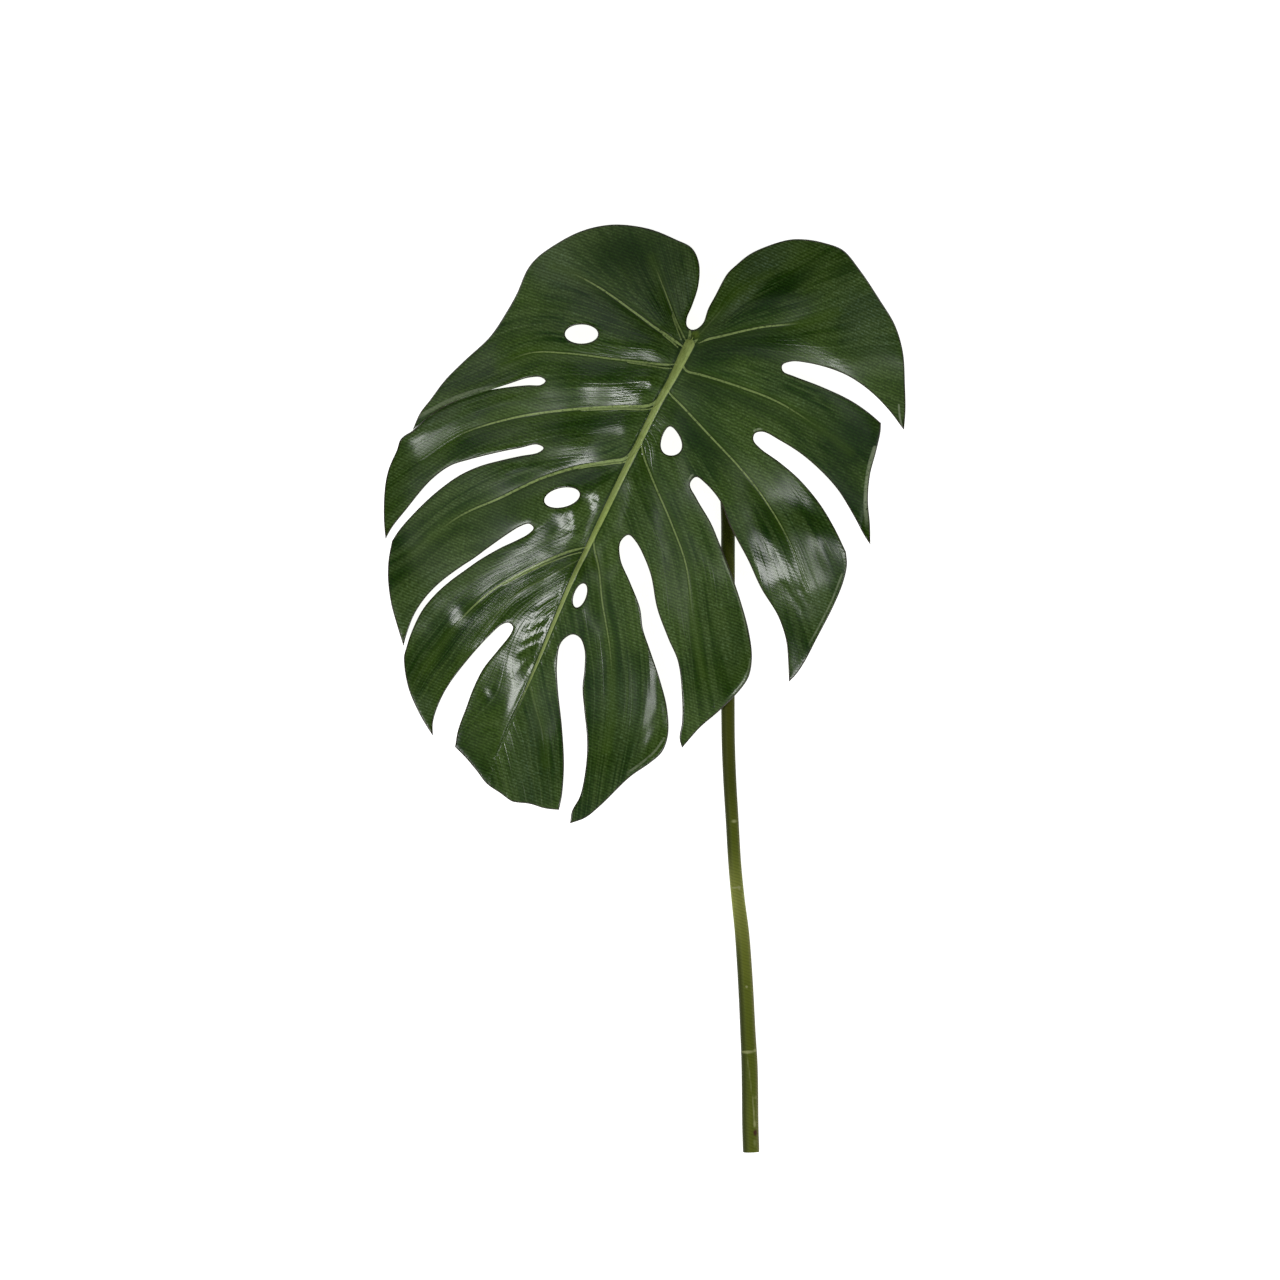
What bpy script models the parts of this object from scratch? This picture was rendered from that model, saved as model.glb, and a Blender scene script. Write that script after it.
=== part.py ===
"""A cut monstera leaf with its stem, laid face up on a flat surface.

The leaf is drawn as it is seen from straight above, in picture units (x to the right, y down),
and brought to its real size by the width of its blade. The blade is one arched sheet with slits,
holes and sunken ribs. The stem lies along the surface, runs up beneath the blade and carries it
at the notch. Metres, +Z up, origin on the surface under the middle of the leaf.
"""

import bpy
import numpy as np
from mathutils import Vector
from mathutils.geometry import delaunay_2d_cdt

# Driving dimensions, in metres
BLADE_WIDTH = 0.287
BLADE_THICKNESS = 0.0007
MIDRIB_WIDTH = 0.0070
MIDRIB_DEPTH = 0.0058
RIB_WIDTH = 0.0046
RIB_DEPTH = 0.0026
RIB_GROOVE = 0.0024
RIB_REACH = 0.0090
LIP_REACH = 0.0120
OVERLAP_REACH = 0.0040

# Shares: how much narrower, shallower and less sunk a rib is at its tip, how far the midrib and
# a lateral rib sink in their grooves, how much of a groove's depth the sheet between the ribs is
# raised by, and over how much of a stepped slit's length its step grows
RIB_NARROWING = 0.6
RIB_THINNING = 0.8
GROOVE_FADING = 0.6
MIDRIB_SUNK = 0.9
LATERAL_SUNK = 1.0
RAISED_BETWEEN = 0.5
STEP_GROWTH = 0.6

# How finely the solids are divided, in metres
MARGIN_STEP = 0.0052
RIB_STEP = 0.0085
SHEET_STEP = 0.0090
HOLE_SIDES = 18

# The same in drawing units: the steps of a rib's and of a stepped slit's measured line, and the
# distance within which drawn points are one. Then the height of an even triangle, and the least
# distance from a point of the grid to a line, both in steps of the sheet.
RIB_LINE_STEP = 2
SLIT_LINE_STEP = 4
SAME_POINT = 1e-4
EVEN_ROW = 0.75 ** 0.5
GRID_CLEARANCE = 0.55
TINY = 1e-9

# The drawing: its own width of the blade, the point under the eye, the leaf's middle, and the
# height of the eye, because what stands nearer the eye is drawn larger
DRAWN_WIDTH = 521.5
EYE = (640.0, 640.0)
MIDDLE = (644.7, 689.9)
EYE_HEIGHT = 3.0
UNIT = BLADE_WIDTH / DRAWN_WIDTH

# The blade's margin, anticlockwise from the tip of the first right lobe. Each stretch is a
# smooth curve, and two stretches meet in a corner.
BASE_LOBES = [
    (904, 430), (905.5, 410), (905, 385), (903, 352), (895, 325), (880, 300), (860, 270),
    (843, 250), (825, 243), (807, 239.5), (790, 239.5), (770, 245), (750, 254), (735, 266),
    (727, 274), (715, 296), (708, 309), (703, 323), (696, 329), (691, 329.5), (687, 326),
    (687, 318), (692, 306), (698.5, 285), (699, 263), (692, 248), (675, 239), (650, 229),
    (620, 224.5), (600, 226), (580, 231.5), (560, 241.5), (537, 257.5), (527, 270), (517, 293),
    (507, 311), (490, 336.5), (464.5, 360.5), (445, 380), (430, 400), (420, 413), (412.5, 430),
]
LEFT_SLIT_1 = [
    (412.5, 430), (429, 416.5), (449, 404.5), (470, 396.5), (490, 390), (510, 383.5),
    (528, 377.8), (541, 377.3), (545.5, 381), (541, 384.8), (528, 385.5), (510, 388.2),
    (490, 392.8), (470, 399.7), (450, 408), (431, 420), (414, 434),
]
LEFT_LOBE_2 = [(414, 434), (403, 442), (391, 463), (386, 480), (384, 500), (384, 522), (385.5, 539)]
LEFT_SLIT_2 = [
    (385.5, 539), (392, 527.5), (405, 511), (430, 481), (450, 466), (470, 459.5), (500, 452),
    (520, 448), (537, 444.5), (543.5, 448), (538, 452.5), (520, 456), (500, 460.5), (480, 466),
    (460, 475), (440, 489), (420, 507), (400, 529), (392, 541),
]
LEFT_LOBE_3 = [(392, 541), (388.5, 560), (388, 580), (391, 603), (396, 622), (403.5, 646)]
LEFT_SLIT_3 = [
    (403.5, 646), (408, 630), (414.5, 614), (425, 598), (440, 582.5), (460, 567.5), (473, 559),
    (490, 546.5), (510, 532.5), (520, 526.5), (529, 523.8), (533.5, 528), (528, 534),
    (518, 539.5), (500, 548), (480, 559.5), (465, 570), (450, 581), (435, 594.5), (422, 610.5),
    (411.5, 632), (405.5, 650),
]
LEFT_LOBE_4 = [(405.5, 650), (404, 656), (404.7, 670), (409, 690), (418, 711), (427, 727), (433, 736)]
LEFT_SLIT_4 = [
    (433, 736), (433, 722), (440, 701), (450, 683), (470, 657), (490, 635), (502, 624.5),
    (509, 622.8), (513, 627), (510.5, 634), (498, 650), (483, 669), (473, 689), (466, 708),
    (458, 730), (455, 747),
]
TIP_LOBE_LEFT = [(455, 747), (465, 757), (476, 770), (487, 784), (500, 793), (506, 797.5)]
TIP_LOBE_RIGHT = [(506, 797.5), (512, 801.5), (530, 804), (545, 808.5), (559, 810)]
TIP_SLIT = [
    (559, 810), (562, 795), (564, 765), (562, 727), (558, 690), (557, 665), (560, 645),
    (566, 637.5), (573, 634.5), (580, 638), (584.5, 650), (584.5, 668), (582.5, 688),
    (584, 708), (587, 740), (586, 765), (580, 796), (572, 811), (570, 823.5),
]
RIGHT_LOBE_5 = [
    (570, 823.5), (585, 818), (600, 806), (630, 777), (650, 763), (662, 752), (668, 735),
    (667, 708), (660, 680), (650, 650), (643, 629), (640, 608), (630, 582), (620.5, 559),
    (620.5, 542), (628.5, 535), (636, 542), (644, 557), (651, 576), (657, 608), (668, 638),
    (678, 662), (682, 697), (682, 722), (679.5, 738), (682, 748),
]
RIGHT_LOBE_4 = [
    (682, 748), (700, 727.5), (719, 711), (740, 690), (749, 676), (752, 657), (749, 632),
    (741, 602), (730, 570), (719, 542), (711, 523), (697, 499), (690, 484), (696, 477),
    (705, 483), (720, 501), (730, 526), (748, 560), (761, 588), (778, 616), (786, 640),
    (788, 660), (789, 682),
]
RIGHT_LOBE_3 = [
    (789, 682), (796, 674.5), (804.5, 662), (817, 638), (833, 607), (843, 583), (847, 565),
    (846, 552),
]
RIGHT_SLIT_2 = [
    (846, 552), (835, 529), (820, 504), (800, 480), (780, 462.5), (760, 448), (753.5, 440),
    (755, 433.5), (763, 431.8), (780, 440.5), (800, 453), (820, 470), (838, 490), (855, 518),
    (864, 535), (870.5, 545),
]
RIGHT_LOBE_2 = [
    (870.5, 545), (870, 525), (868, 500), (870, 475), (876, 452), (880.5, 432), (881, 423),
]
RIGHT_SLIT_1 = [
    (881, 423), (868, 412), (850, 400), (820, 386), (795, 376.5), (783, 371), (782.5, 365),
    (792, 361.5), (808, 363), (830, 368.5), (850, 377), (870, 391), (888, 409), (904, 430),
]
MARGIN = [
    BASE_LOBES, LEFT_SLIT_1, LEFT_LOBE_2, LEFT_SLIT_2, LEFT_LOBE_3, LEFT_SLIT_3, LEFT_LOBE_4,
    LEFT_SLIT_4, TIP_LOBE_LEFT, TIP_LOBE_RIGHT, TIP_SLIT, RIGHT_LOBE_5, RIGHT_LOBE_4,
    RIGHT_LOBE_3, RIGHT_SLIT_2, RIGHT_LOBE_2, RIGHT_SLIT_1,
]

# Holes beside the midrib: middle x and y, half length, half width, the turn of the long axis in
# degrees, and how much the hole narrows towards its far end
HOLES = [
    (581.5, 334, 16.5, 9.5, 0, 0.0),
    (562, 497.5, 18, 9.5, 13, 0.0),
    (671, 441, 14.5, 10, 95, 0.35),
    (580, 595.5, 12.5, 6, 70, 0.0),
]

# Ribs, each from its root on the midrib outwards
MIDRIB = [
    (692, 336), (686, 350), (672, 378), (659, 400), (640, 440), (620, 480), (600.5, 520),
    (586, 550), (571, 580), (554, 620), (538, 660), (522, 698), (506, 732), (496, 756),
]
RIBS = [
    [(687, 342), (672, 310), (662, 288), (650, 256)],
    [(682, 350), (660, 329), (630, 309), (600, 288), (570, 272), (552, 266)],
    [(676, 366), (645, 362), (610, 358.5), (570, 353.5), (530, 353), (498, 366)],
    [(655, 405), (620, 406.5), (566, 410), (513, 418), (459, 435), (422, 459)],
    [(636, 449), (622, 460), (580, 466.5), (540, 479), (500, 498), (460, 516), (412, 552)],
    [(586, 547), (565, 553), (525, 571), (490, 592), (455, 626), (426, 668)],
    [(580, 559), (546, 578), (518, 593), (490, 622), (461, 661)],
    [(694, 342), (720, 336.5), (760, 327.5), (800, 322.5), (838, 312)],
    [(698, 336), (720, 311), (735, 293), (770, 273)],
    [(680, 366), (700, 375), (740, 387), (780, 403), (830, 436), (850, 452)],
    [(664, 392), (680, 405), (710, 436), (740, 468), (763, 497), (790, 543), (808, 590)],
    [(640, 445), (652, 478), (672, 525), (686, 565), (693, 620), (702, 675)],
    [(592, 541), (599, 570), (602, 600), (610, 650), (612, 700), (606, 750)],
    [(530, 684), (535, 705), (543, 735), (546, 765)],
]

# Where one lip of a slit stands over the other: the slit's line from its inner end, how much
# higher its upper lip is, and how far the lower lip slips under it, in metres
STEPPED_SLITS = [
    ([(545, 381), (510, 386), (470, 398), (431, 418), (400, 440)], 0.0032, 0.0025),
    ([(533, 528), (500, 544), (465, 567), (422, 606), (398, 654)], 0.0022, 0.0),
]

# Heights of the arched sheet over the surface, in metres, at places on it
HEIGHTS = [
    (692, 338, 0.0560), (680, 361, 0.0575), (659, 400, 0.0550), (631, 460, 0.0485),
    (600, 520, 0.0400), (571, 580, 0.0310), (538, 660, 0.0190), (506, 732, 0.0085),
    (462, 752, 0.0040), (530, 803, 0.0045), (559, 809, 0.0045),
    (690, 285, 0.0460), (692, 250, 0.0400), (640, 226, 0.0300), (600, 226, 0.0240),
    (550, 248, 0.0180), (500, 320, 0.0090), (455, 368, 0.0045), (413, 425, 0.0030),
    (600, 300, 0.0390), (540, 340, 0.0270), (480, 375, 0.0115),
    (391, 463, -0.0012), (384, 505, -0.0036), (401, 495, -0.0012), (430, 470, 0.0045), (480, 420, 0.0150),
    (560, 430, 0.0320), (388, 580, 0.0012), (404, 645, 0.0020), (450, 540, 0.0100),
    (520, 500, 0.0260), (414, 703, 0.0022), (433, 736, 0.0028), (450, 640, 0.0065),
    (520, 590, 0.0215),
    (727, 274, 0.0460), (750, 254, 0.0400), (800, 239, 0.0290), (843, 250, 0.0200),
    (885, 307, 0.0090), (903, 360, 0.0020), (905, 400, -0.0034), (890, 402, -0.0010), (900, 420, -0.0026),
    (800, 310, 0.0360), (850, 350, 0.0170), (876, 440, 0.0022), (869, 500, 0.0006),
    (869, 540, 0.0012), (800, 430, 0.0240), (740, 420, 0.0410),
    (846, 560, 0.0015), (808, 651, 0.0015), (789, 680, 0.0018), (780, 520, 0.0180),
    (800, 600, 0.0060), (733, 697, 0.0125), (748, 676, 0.0125), (752, 640, 0.0135),
    (682, 746, 0.0045), (700, 600, 0.0220), (715, 660, 0.0150),
    (668, 735, 0.0060), (640, 770, 0.0045), (600, 806, 0.0030), (571, 820, 0.0020),
    (620, 650, 0.0190), (600, 720, 0.0095),
]

# The stem's middle line from its cut foot to the knuckle: x and y as drawn, then how high its
# underside is over the surface, and its width, in metres
STEM = [
    (751.2, 1152, 0.0, 0.0091), (750.4, 1125, 0.0, 0.0091), (749.6, 1066, 0.0, 0.0090),
    (748, 1033, 0.0, 0.0085), (745.5, 983, 0.0, 0.0083), (742, 933, 0.0, 0.0080),
    (738.2, 900, 0.0, 0.0074), (734.8, 864, 0.0, 0.0072), (732.2, 820, 0.0002, 0.0072),
    (729.8, 780, 0.0006, 0.0073), (728.3, 740, 0.0013, 0.0074), (728, 680, 0.0023, 0.0075),
    (728, 620, 0.0038, 0.0076), (728, 560, 0.0063, 0.0077), (727.5, 505, 0.0105, 0.0077),
    (723, 455, 0.0175, 0.0078), (716, 410, 0.0262, 0.0080), (706, 372, 0.0358, 0.0086),
    (697, 352, 0.0426, 0.0088), (694, 347, 0.0448, 0.0086),
]
STEM_STEP = 0.0110
STEM_SIDES = 16

BLADE_GREEN = (0.022, 0.060, 0.010, 1.0)
BLADE_ROUGHNESS = 0.32
STEM_GREEN = (0.115, 0.150, 0.028, 1.0)
STEM_ROUGHNESS = 0.4


def clear_scene():
    """Leaves an empty file."""
    for item in list(bpy.data.objects):
        bpy.data.objects.remove(item, do_unlink=True)


def material(name, colour, roughness):
    """A plain leaf or stem surface."""
    made = bpy.data.materials.new(name)
    made.use_nodes = True
    shader = made.node_tree.nodes["Principled BSDF"]
    shader.inputs["Base Color"].default_value = colour
    shader.inputs["Roughness"].default_value = roughness
    shader.inputs["Metallic"].default_value = 0.0
    return made


def smooth_line(points, step):
    """A smooth curve through the points, divided about every step, in drawing units."""
    knots = np.array(points, float)
    before = 2 * knots[0] - knots[1]
    after = 2 * knots[-1] - knots[-2]
    knots = np.vstack((before, knots, after))
    line = [knots[1]]
    for p0, p1, p2, p3 in zip(knots, knots[1:], knots[2:], knots[3:]):
        pieces = max(2, round(np.linalg.norm((p2 - p1)[:2]) / step))
        t1 = np.linalg.norm(p1 - p0) ** 0.5
        t2 = t1 + np.linalg.norm(p2 - p1) ** 0.5
        t3 = t2 + np.linalg.norm(p3 - p2) ** 0.5
        for t in np.linspace(t1, t2, pieces + 1)[1:]:
            a = p0 + (p1 - p0) * t / t1
            b = p1 + (p2 - p1) * (t - t1) / (t2 - t1)
            c = p2 + (p3 - p2) * (t - t2) / (t3 - t2)
            d = a + (b - a) * t / t2
            e = b + (c - b) * (t - t1) / (t3 - t1)
            line.append(d + (e - d) * (t - t1) / (t2 - t1))
    return np.array(line)


def sideways(line):
    """Unit vectors across a line, to its right as it is drawn."""
    along = np.gradient(line, axis=0)
    along /= np.linalg.norm(along, axis=1)[:, None]
    return np.column_stack((-along[:, 1], along[:, 0]))


def beside(line, offset):
    """The line moved sideways by an offset for each of its points."""
    return line + sideways(line) * np.reshape(offset, (-1, 1))


def ring(hole):
    """A hole's edge: an ellipse, drawn in towards one end."""
    x, y, half_length, half_width, turn, narrowing = hole
    angle = np.linspace(0, 2 * np.pi, HOLE_SIDES, endpoint=False)
    along = half_length * np.cos(angle)
    across = half_width * np.sin(angle) * (1 - narrowing * np.cos(angle))
    turn = np.radians(turn)
    return np.column_stack((
        x + along * np.cos(turn) + across * np.sin(turn),
        y - along * np.sin(turn) + across * np.cos(turn),
    ))


def thin_plate(places, heights):
    """The smoothest surface through the given heights, as a function of places."""
    def bend(a, b):
        square = ((a[:, None, :] - b[None, :, :]) ** 2).sum(axis=2)
        return square * np.log(square + TINY)

    def flat(a):
        return np.column_stack((np.ones(len(a)), a))

    scale = 1 / DRAWN_WIDTH
    places = places * scale
    size = len(places)
    system = np.zeros((size + 3, size + 3))
    system[:size, :size] = bend(places, places)
    system[:size, size:] = flat(places)
    system[size:, :size] = flat(places).T
    weights = np.linalg.solve(system, np.append(heights, np.zeros(3)))

    def surface(at):
        at = at * scale
        return bend(at, places) @ weights[:size] + flat(at) @ weights[size:]

    return surface


def nearest(at, line):
    """For each place the nearest point of a line: how far off it is, in metres, at which share of
    the line's length, and its index."""
    square = ((at[:, None, :] - line[None, :, :]) ** 2).sum(axis=2)
    index = square.argmin(axis=1)
    distance = np.sqrt(square[np.arange(len(at)), index]) * UNIT
    return distance, index / (len(line) - 1), index


def ease(share):
    """A smooth rise from 0 to 1."""
    share = np.clip(share, 0, 1)
    return share * share * (3 - 2 * share)


def inside(at, loop):
    """Which places lie inside a closed loop."""
    ends = np.roll(loop, -1, axis=0)
    above = (loop[:, 1] > at[:, 1, None]) != (ends[:, 1] > at[:, 1, None])
    rise = np.where(ends[:, 1] == loop[:, 1], TINY, ends[:, 1] - loop[:, 1])
    crossing = loop[:, 0] + (at[:, 1, None] - loop[:, 1]) * (ends[:, 0] - loop[:, 0]) / rise
    return (above & (at[:, 0, None] < crossing)).sum(axis=1) % 2 == 1


def place(at, height):
    """Drawn places and their heights, as points in metres."""
    nearer = 1 - height / EYE_HEIGHT
    return np.column_stack((
        (EYE[0] - MIDDLE[0] + (at[:, 0] - EYE[0]) * nearer) * UNIT,
        (MIDDLE[1] - EYE[1] - (at[:, 1] - EYE[1]) * nearer) * UNIT,
        height,
    ))


class Rib:
    """A rib's line, its half width and depth below the sheet, and how far it sinks the sheet."""

    def __init__(self, points, width, depth, sunk):
        self.points = points
        self.line = smooth_line(points, RIB_LINE_STEP)
        self.width = width
        self.depth = depth
        self.sunk = sunk

    def half_width(self, share):
        """Half the rib's width at a share of its length."""
        return self.width / 2 * (1 - RIB_NARROWING * share)

    def measure(self, at):
        """At each place, the rib's depth below the sheet and the share of its groove."""
        distance, share, _ = nearest(at, self.line)
        slope = np.clip(1 - distance / self.half_width(share), 0, 1)
        depth = self.depth * (1 - RIB_THINNING * share) * slope
        sunk = self.sunk * (1 - GROOVE_FADING * share) * np.exp(-(distance / RIB_REACH) ** 2)
        return depth, sunk


def all_ribs():
    """The midrib, then the lateral ribs."""
    midrib = Rib(MIDRIB, MIDRIB_WIDTH, MIDRIB_DEPTH, MIDRIB_SUNK)
    return [midrib] + [Rib(points, RIB_WIDTH, RIB_DEPTH, LATERAL_SUNK) for points in RIBS]


def sheet(at, ribs):
    """The places of the blade's upper face, their heights, and the ribs' depths below them.

    The sheet is arched through its heights and sunk along its ribs. At a stepped slit the upper
    lip is raised, and the lower lip is let down and slipped under it.
    """
    drawn = np.array(HEIGHTS)
    height = thin_plate(drawn[:, :2], drawn[:, 2])(at)
    depth, sunk = np.max([rib.measure(at) for rib in ribs], axis=0)
    height += RIB_GROOVE * (RAISED_BETWEEN - sunk)
    moved = at.copy()
    for points, step, overlap in STEPPED_SLITS:
        line = smooth_line(points, SLIT_LINE_STEP)
        distance, share, index = nearest(at, line)
        across = sideways(line)[index]
        side = np.sign(((at - line[index]) * across).sum(axis=1))
        strength = ease(share / STEP_GROWTH)
        height += side * step / 2 * strength * np.exp(-(distance / LIP_REACH) ** 2)
        slip = overlap / UNIT * strength * np.exp(-(distance / OVERLAP_REACH) ** 2)
        moved += across * np.where(side < 0, slip, 0)[:, None]
    return moved, np.maximum(height, BLADE_THICKNESS + depth), depth


def blade_drawing(ribs):
    """The drawn points of the sheet, the lines that its triangles keep to, and its edge loops."""
    points, lines = [], []

    def add(line, closed=False):
        first = len(points)
        points.extend(line)
        lines.extend((first + i, first + i + 1) for i in range(len(line) - 1))
        if closed:
            lines.append((first + len(line) - 1, first))

    outline = np.vstack([smooth_line(stretch, MARGIN_STEP / UNIT)[:-1] for stretch in MARGIN])
    loops = [outline] + [ring(hole) for hole in HOLES]
    for loop in loops:
        add(loop, closed=True)
    for rib in ribs:
        line = smooth_line(rib.points, RIB_STEP / UNIT)
        half = rib.half_width(np.linspace(0, 1, len(line))) / UNIT
        add(line)
        add(beside(line, half)[1:])
        add(beside(line, -half)[1:])

    step = SHEET_STEP / UNIT
    fixed = np.array(points)
    low, high = outline.min(axis=0), outline.max(axis=0)
    rows = np.arange(low[1], high[1], step * EVEN_ROW)
    grid = np.array([
        (x, y) for row, y in enumerate(rows)
        for x in np.arange(low[0] + row % 2 * step / 2, high[0], step)
    ])
    keep = inside(grid, outline)
    near = ((grid[:, None, :] - fixed[None, :, :]) ** 2).sum(axis=2).min(axis=1)
    keep &= near > (GRID_CLEARANCE * step) ** 2
    points.extend(grid[keep])
    return points, lines, loops


def make_blade(collection):
    """The blade: its sheet divided into triangles, arched, and thickened downwards."""
    ribs = all_ribs()
    points, lines, loops = blade_drawing(ribs)
    flipped = [Vector((x, -y)) for x, y in points]
    found, _, faces, _, _, _ = delaunay_2d_cdt(flipped, lines, [], 1, SAME_POINT)
    at = np.array([(v.x, -v.y) for v in found])
    centres = np.array([np.mean(at[list(face)], axis=0) for face in faces])
    hollow = np.any([inside(centres, hole) for hole in loops[1:]], axis=0)
    faces = [tuple(face) for face, gone in zip(faces, hollow) if not gone]
    at, height, depth = sheet(at, ribs)

    mesh = bpy.data.meshes.new("blade")
    mesh.from_pydata(place(at, height).tolist(), [], faces)
    mesh.shade_smooth()
    blade = bpy.data.objects.new("blade", mesh)
    collection.objects.link(blade)

    thicken = blade.modifiers.new("thickness", "SOLIDIFY")
    thicken.thickness = BLADE_THICKNESS + MIDRIB_DEPTH
    thicken.thickness_vertex_group = BLADE_THICKNESS / thicken.thickness
    thicken.offset = -1.0
    group = blade.vertex_groups.new(name="rib_depth")
    for index, value in enumerate(depth):
        group.add([index], float(value / MIDRIB_DEPTH), "REPLACE")
    thicken.vertex_group = group.name
    mesh.materials.append(material("blade", BLADE_GREEN, BLADE_ROUGHNESS))
    return blade


def make_petiole(collection):
    """The stem: a round tapering rod along its middle line, cut square at its foot."""
    stem = smooth_line(STEM, STEM_STEP / UNIT)
    radius = stem[:, 3] / 2
    route = place(stem[:, :2], stem[:, 2] + radius)
    curve = bpy.data.curves.new("petiole", "CURVE")
    curve.dimensions = "3D"
    curve.twist_mode = "Z_UP"
    curve.bevel_depth = 1.0
    # A round bevel has four sides, and two more for each step of its resolution
    curve.bevel_resolution = (STEM_SIDES - 4) // 2
    curve.use_fill_caps = True
    spline = curve.splines.new("POLY")
    spline.points.add(len(route) - 1)
    for point, position, size in zip(spline.points, route, radius):
        point.co = (*position, 1)
        point.radius = size
    petiole = bpy.data.objects.new("petiole", curve)
    collection.objects.link(petiole)
    curve.materials.append(material("petiole", STEM_GREEN, STEM_ROUGHNESS))
    return petiole


def main():
    clear_scene()
    collection = bpy.data.collections.new("monstera_leaf")
    bpy.context.scene.collection.children.link(collection)
    make_blade(collection)
    make_petiole(collection)


main()
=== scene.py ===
"""The looks of a cut monstera leaf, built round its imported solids.

Blade and stem are drawn as they are seen from straight above, in picture units (x to the right,
y down), along the same lines as the solids. Here the sheet is divided finely enough for its ribs,
folds, wrinkles and puffed panels to be real relief. Lengths are in metres unless a comment or a
docstring says otherwise.
"""

import bpy
import numpy as np
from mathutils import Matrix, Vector, noise
from mathutils.geometry import delaunay_2d_cdt
from mathutils.kdtree import KDTree


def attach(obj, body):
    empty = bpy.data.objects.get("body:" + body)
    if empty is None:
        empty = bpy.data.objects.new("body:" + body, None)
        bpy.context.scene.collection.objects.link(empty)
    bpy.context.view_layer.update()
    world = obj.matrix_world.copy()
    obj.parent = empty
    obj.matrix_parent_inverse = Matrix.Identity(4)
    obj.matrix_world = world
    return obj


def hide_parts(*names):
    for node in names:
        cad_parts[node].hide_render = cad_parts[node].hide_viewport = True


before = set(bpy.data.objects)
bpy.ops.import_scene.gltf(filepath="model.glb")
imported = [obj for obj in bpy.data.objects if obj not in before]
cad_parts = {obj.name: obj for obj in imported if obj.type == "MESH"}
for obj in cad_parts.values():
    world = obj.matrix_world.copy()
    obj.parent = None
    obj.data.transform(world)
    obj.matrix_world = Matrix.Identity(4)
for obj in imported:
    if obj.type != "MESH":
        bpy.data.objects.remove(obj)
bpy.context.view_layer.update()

# Driving dimensions, as in the solids
BLADE_WIDTH = 0.287
BLADE_THICKNESS = 0.0007
RIB_WIDTH = 0.0046
RIB_DEPTH = 0.0026
MIDRIB_WIDTH = 0.0070
MIDRIB_DEPTH = 0.0058
RIB_GROOVE = 0.0022
RIB_REACH = 0.0075
LIP_REACH = 0.0120
OVERLAP_REACH = 0.0040

# How finely the pieces are divided, and how far their drawn lines keep from the edges. The last
# clearance is a share of the sheet's step.
MARGIN_STEP = 0.0013
EDGE_STEP = 0.0003
LINE_STEP = 0.0015
FOLD_STEP = 0.0018
SHEET_STEP = 0.00152
STEM_STEP = 0.0009
HOLE_SIDES = 64
STEM_SIDES = 56
LINE_CLEARANCE = 0.0006
EDGE_ROW = 0.0008
EDGE_ROW_CLEARANCE = EDGE_ROW * 0.8
GRID_CLEARANCE = 0.62

# Rows of points beside the lines, at shares of the midrib's half band, of a thread's half width
# and of a narrow fold's reach, and at distances outside a band or thread
BAND_ROWS = (0.4, 0.75, 1.0)
THREAD_ROWS = (1.0,)
FOLD_ROWS = (-0.8, 0, 0.8)
NARROW_FOLD = 0.003
OUTER_ROWS = (0.0007, 0.0016, 0.0027)

# In drawing units: the steps of lines that are only measured from, and the gap at which two
# points become one
CURVE_STEP = 2
LONG_CURVE_STEP = 4
SAME_POINT = 0.02

# The drawing: its own width of the blade, the point under the eye, the leaf's middle, and the
# height of the eye, because what stands nearer the eye is drawn larger
DRAWN_WIDTH = 521.5
EYE = (640.0, 640.0)
MIDDLE = (644.7, 689.9)
EYE_HEIGHT = 3.0
UNIT = BLADE_WIDTH / DRAWN_WIDTH

# The blade's margin, anticlockwise from the tip of the first right lobe. Each stretch is a
# smooth curve, and two stretches meet in a corner.
BASE_LOBES = [
    (904, 430), (905.5, 410), (905, 385), (903, 352), (895, 325), (880, 300), (860, 270),
    (843, 250), (825, 243), (807, 239.5), (790, 239.5), (770, 245), (750, 254), (735, 266),
    (727, 274), (715, 296), (708, 309), (703, 323), (696, 329), (691, 329.5), (687, 326),
    (687, 318), (692, 306), (698.5, 285), (699, 263), (692, 248), (675, 239), (650, 229),
    (620, 224.5), (600, 226), (580, 231.5), (560, 241.5), (537, 257.5), (527, 270), (517, 293),
    (507, 311), (490, 336.5), (464.5, 360.5), (445, 380), (430, 400), (420, 413), (412.5, 430),
]
LEFT_SLIT_1 = [
    (412.5, 430), (429, 416.5), (449, 404.5), (470, 396.5), (490, 390), (510, 383.5),
    (528, 377.8), (541, 377.3), (545.5, 381), (541, 384.8), (528, 385.5), (510, 388.2),
    (490, 392.8), (470, 399.7), (450, 408), (431, 420), (414, 434),
]
LEFT_LOBE_2 = [
    (414, 434), (403, 442), (391, 463), (386, 480), (384, 500), (384, 522), (385.5, 539),
]
LEFT_SLIT_2 = [
    (385.5, 539), (392, 527.5), (405, 511), (430, 481), (450, 466), (470, 459.5), (500, 452),
    (520, 448), (537, 444.5), (543.5, 448), (538, 452.5), (520, 456), (500, 460.5), (480, 466),
    (460, 475), (440, 489), (420, 507), (400, 529), (392, 541),
]
LEFT_LOBE_3 = [(392, 541), (388.5, 560), (388, 580), (391, 603), (396, 622), (403.5, 646)]
LEFT_SLIT_3 = [
    (403.5, 646), (408, 630), (414.5, 614), (425, 598), (440, 582.5), (460, 567.5), (473, 559),
    (490, 546.5), (510, 532.5), (520, 526.5), (529, 523.8), (533.5, 528), (528, 534),
    (518, 539.5), (500, 548), (480, 559.5), (465, 570), (450, 581), (435, 594.5), (422, 610.5),
    (411.5, 632), (405.5, 650),
]
LEFT_LOBE_4 = [
    (405.5, 650), (404, 656), (404.7, 670), (409, 690), (418, 711), (427, 727), (433, 736),
]
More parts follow.
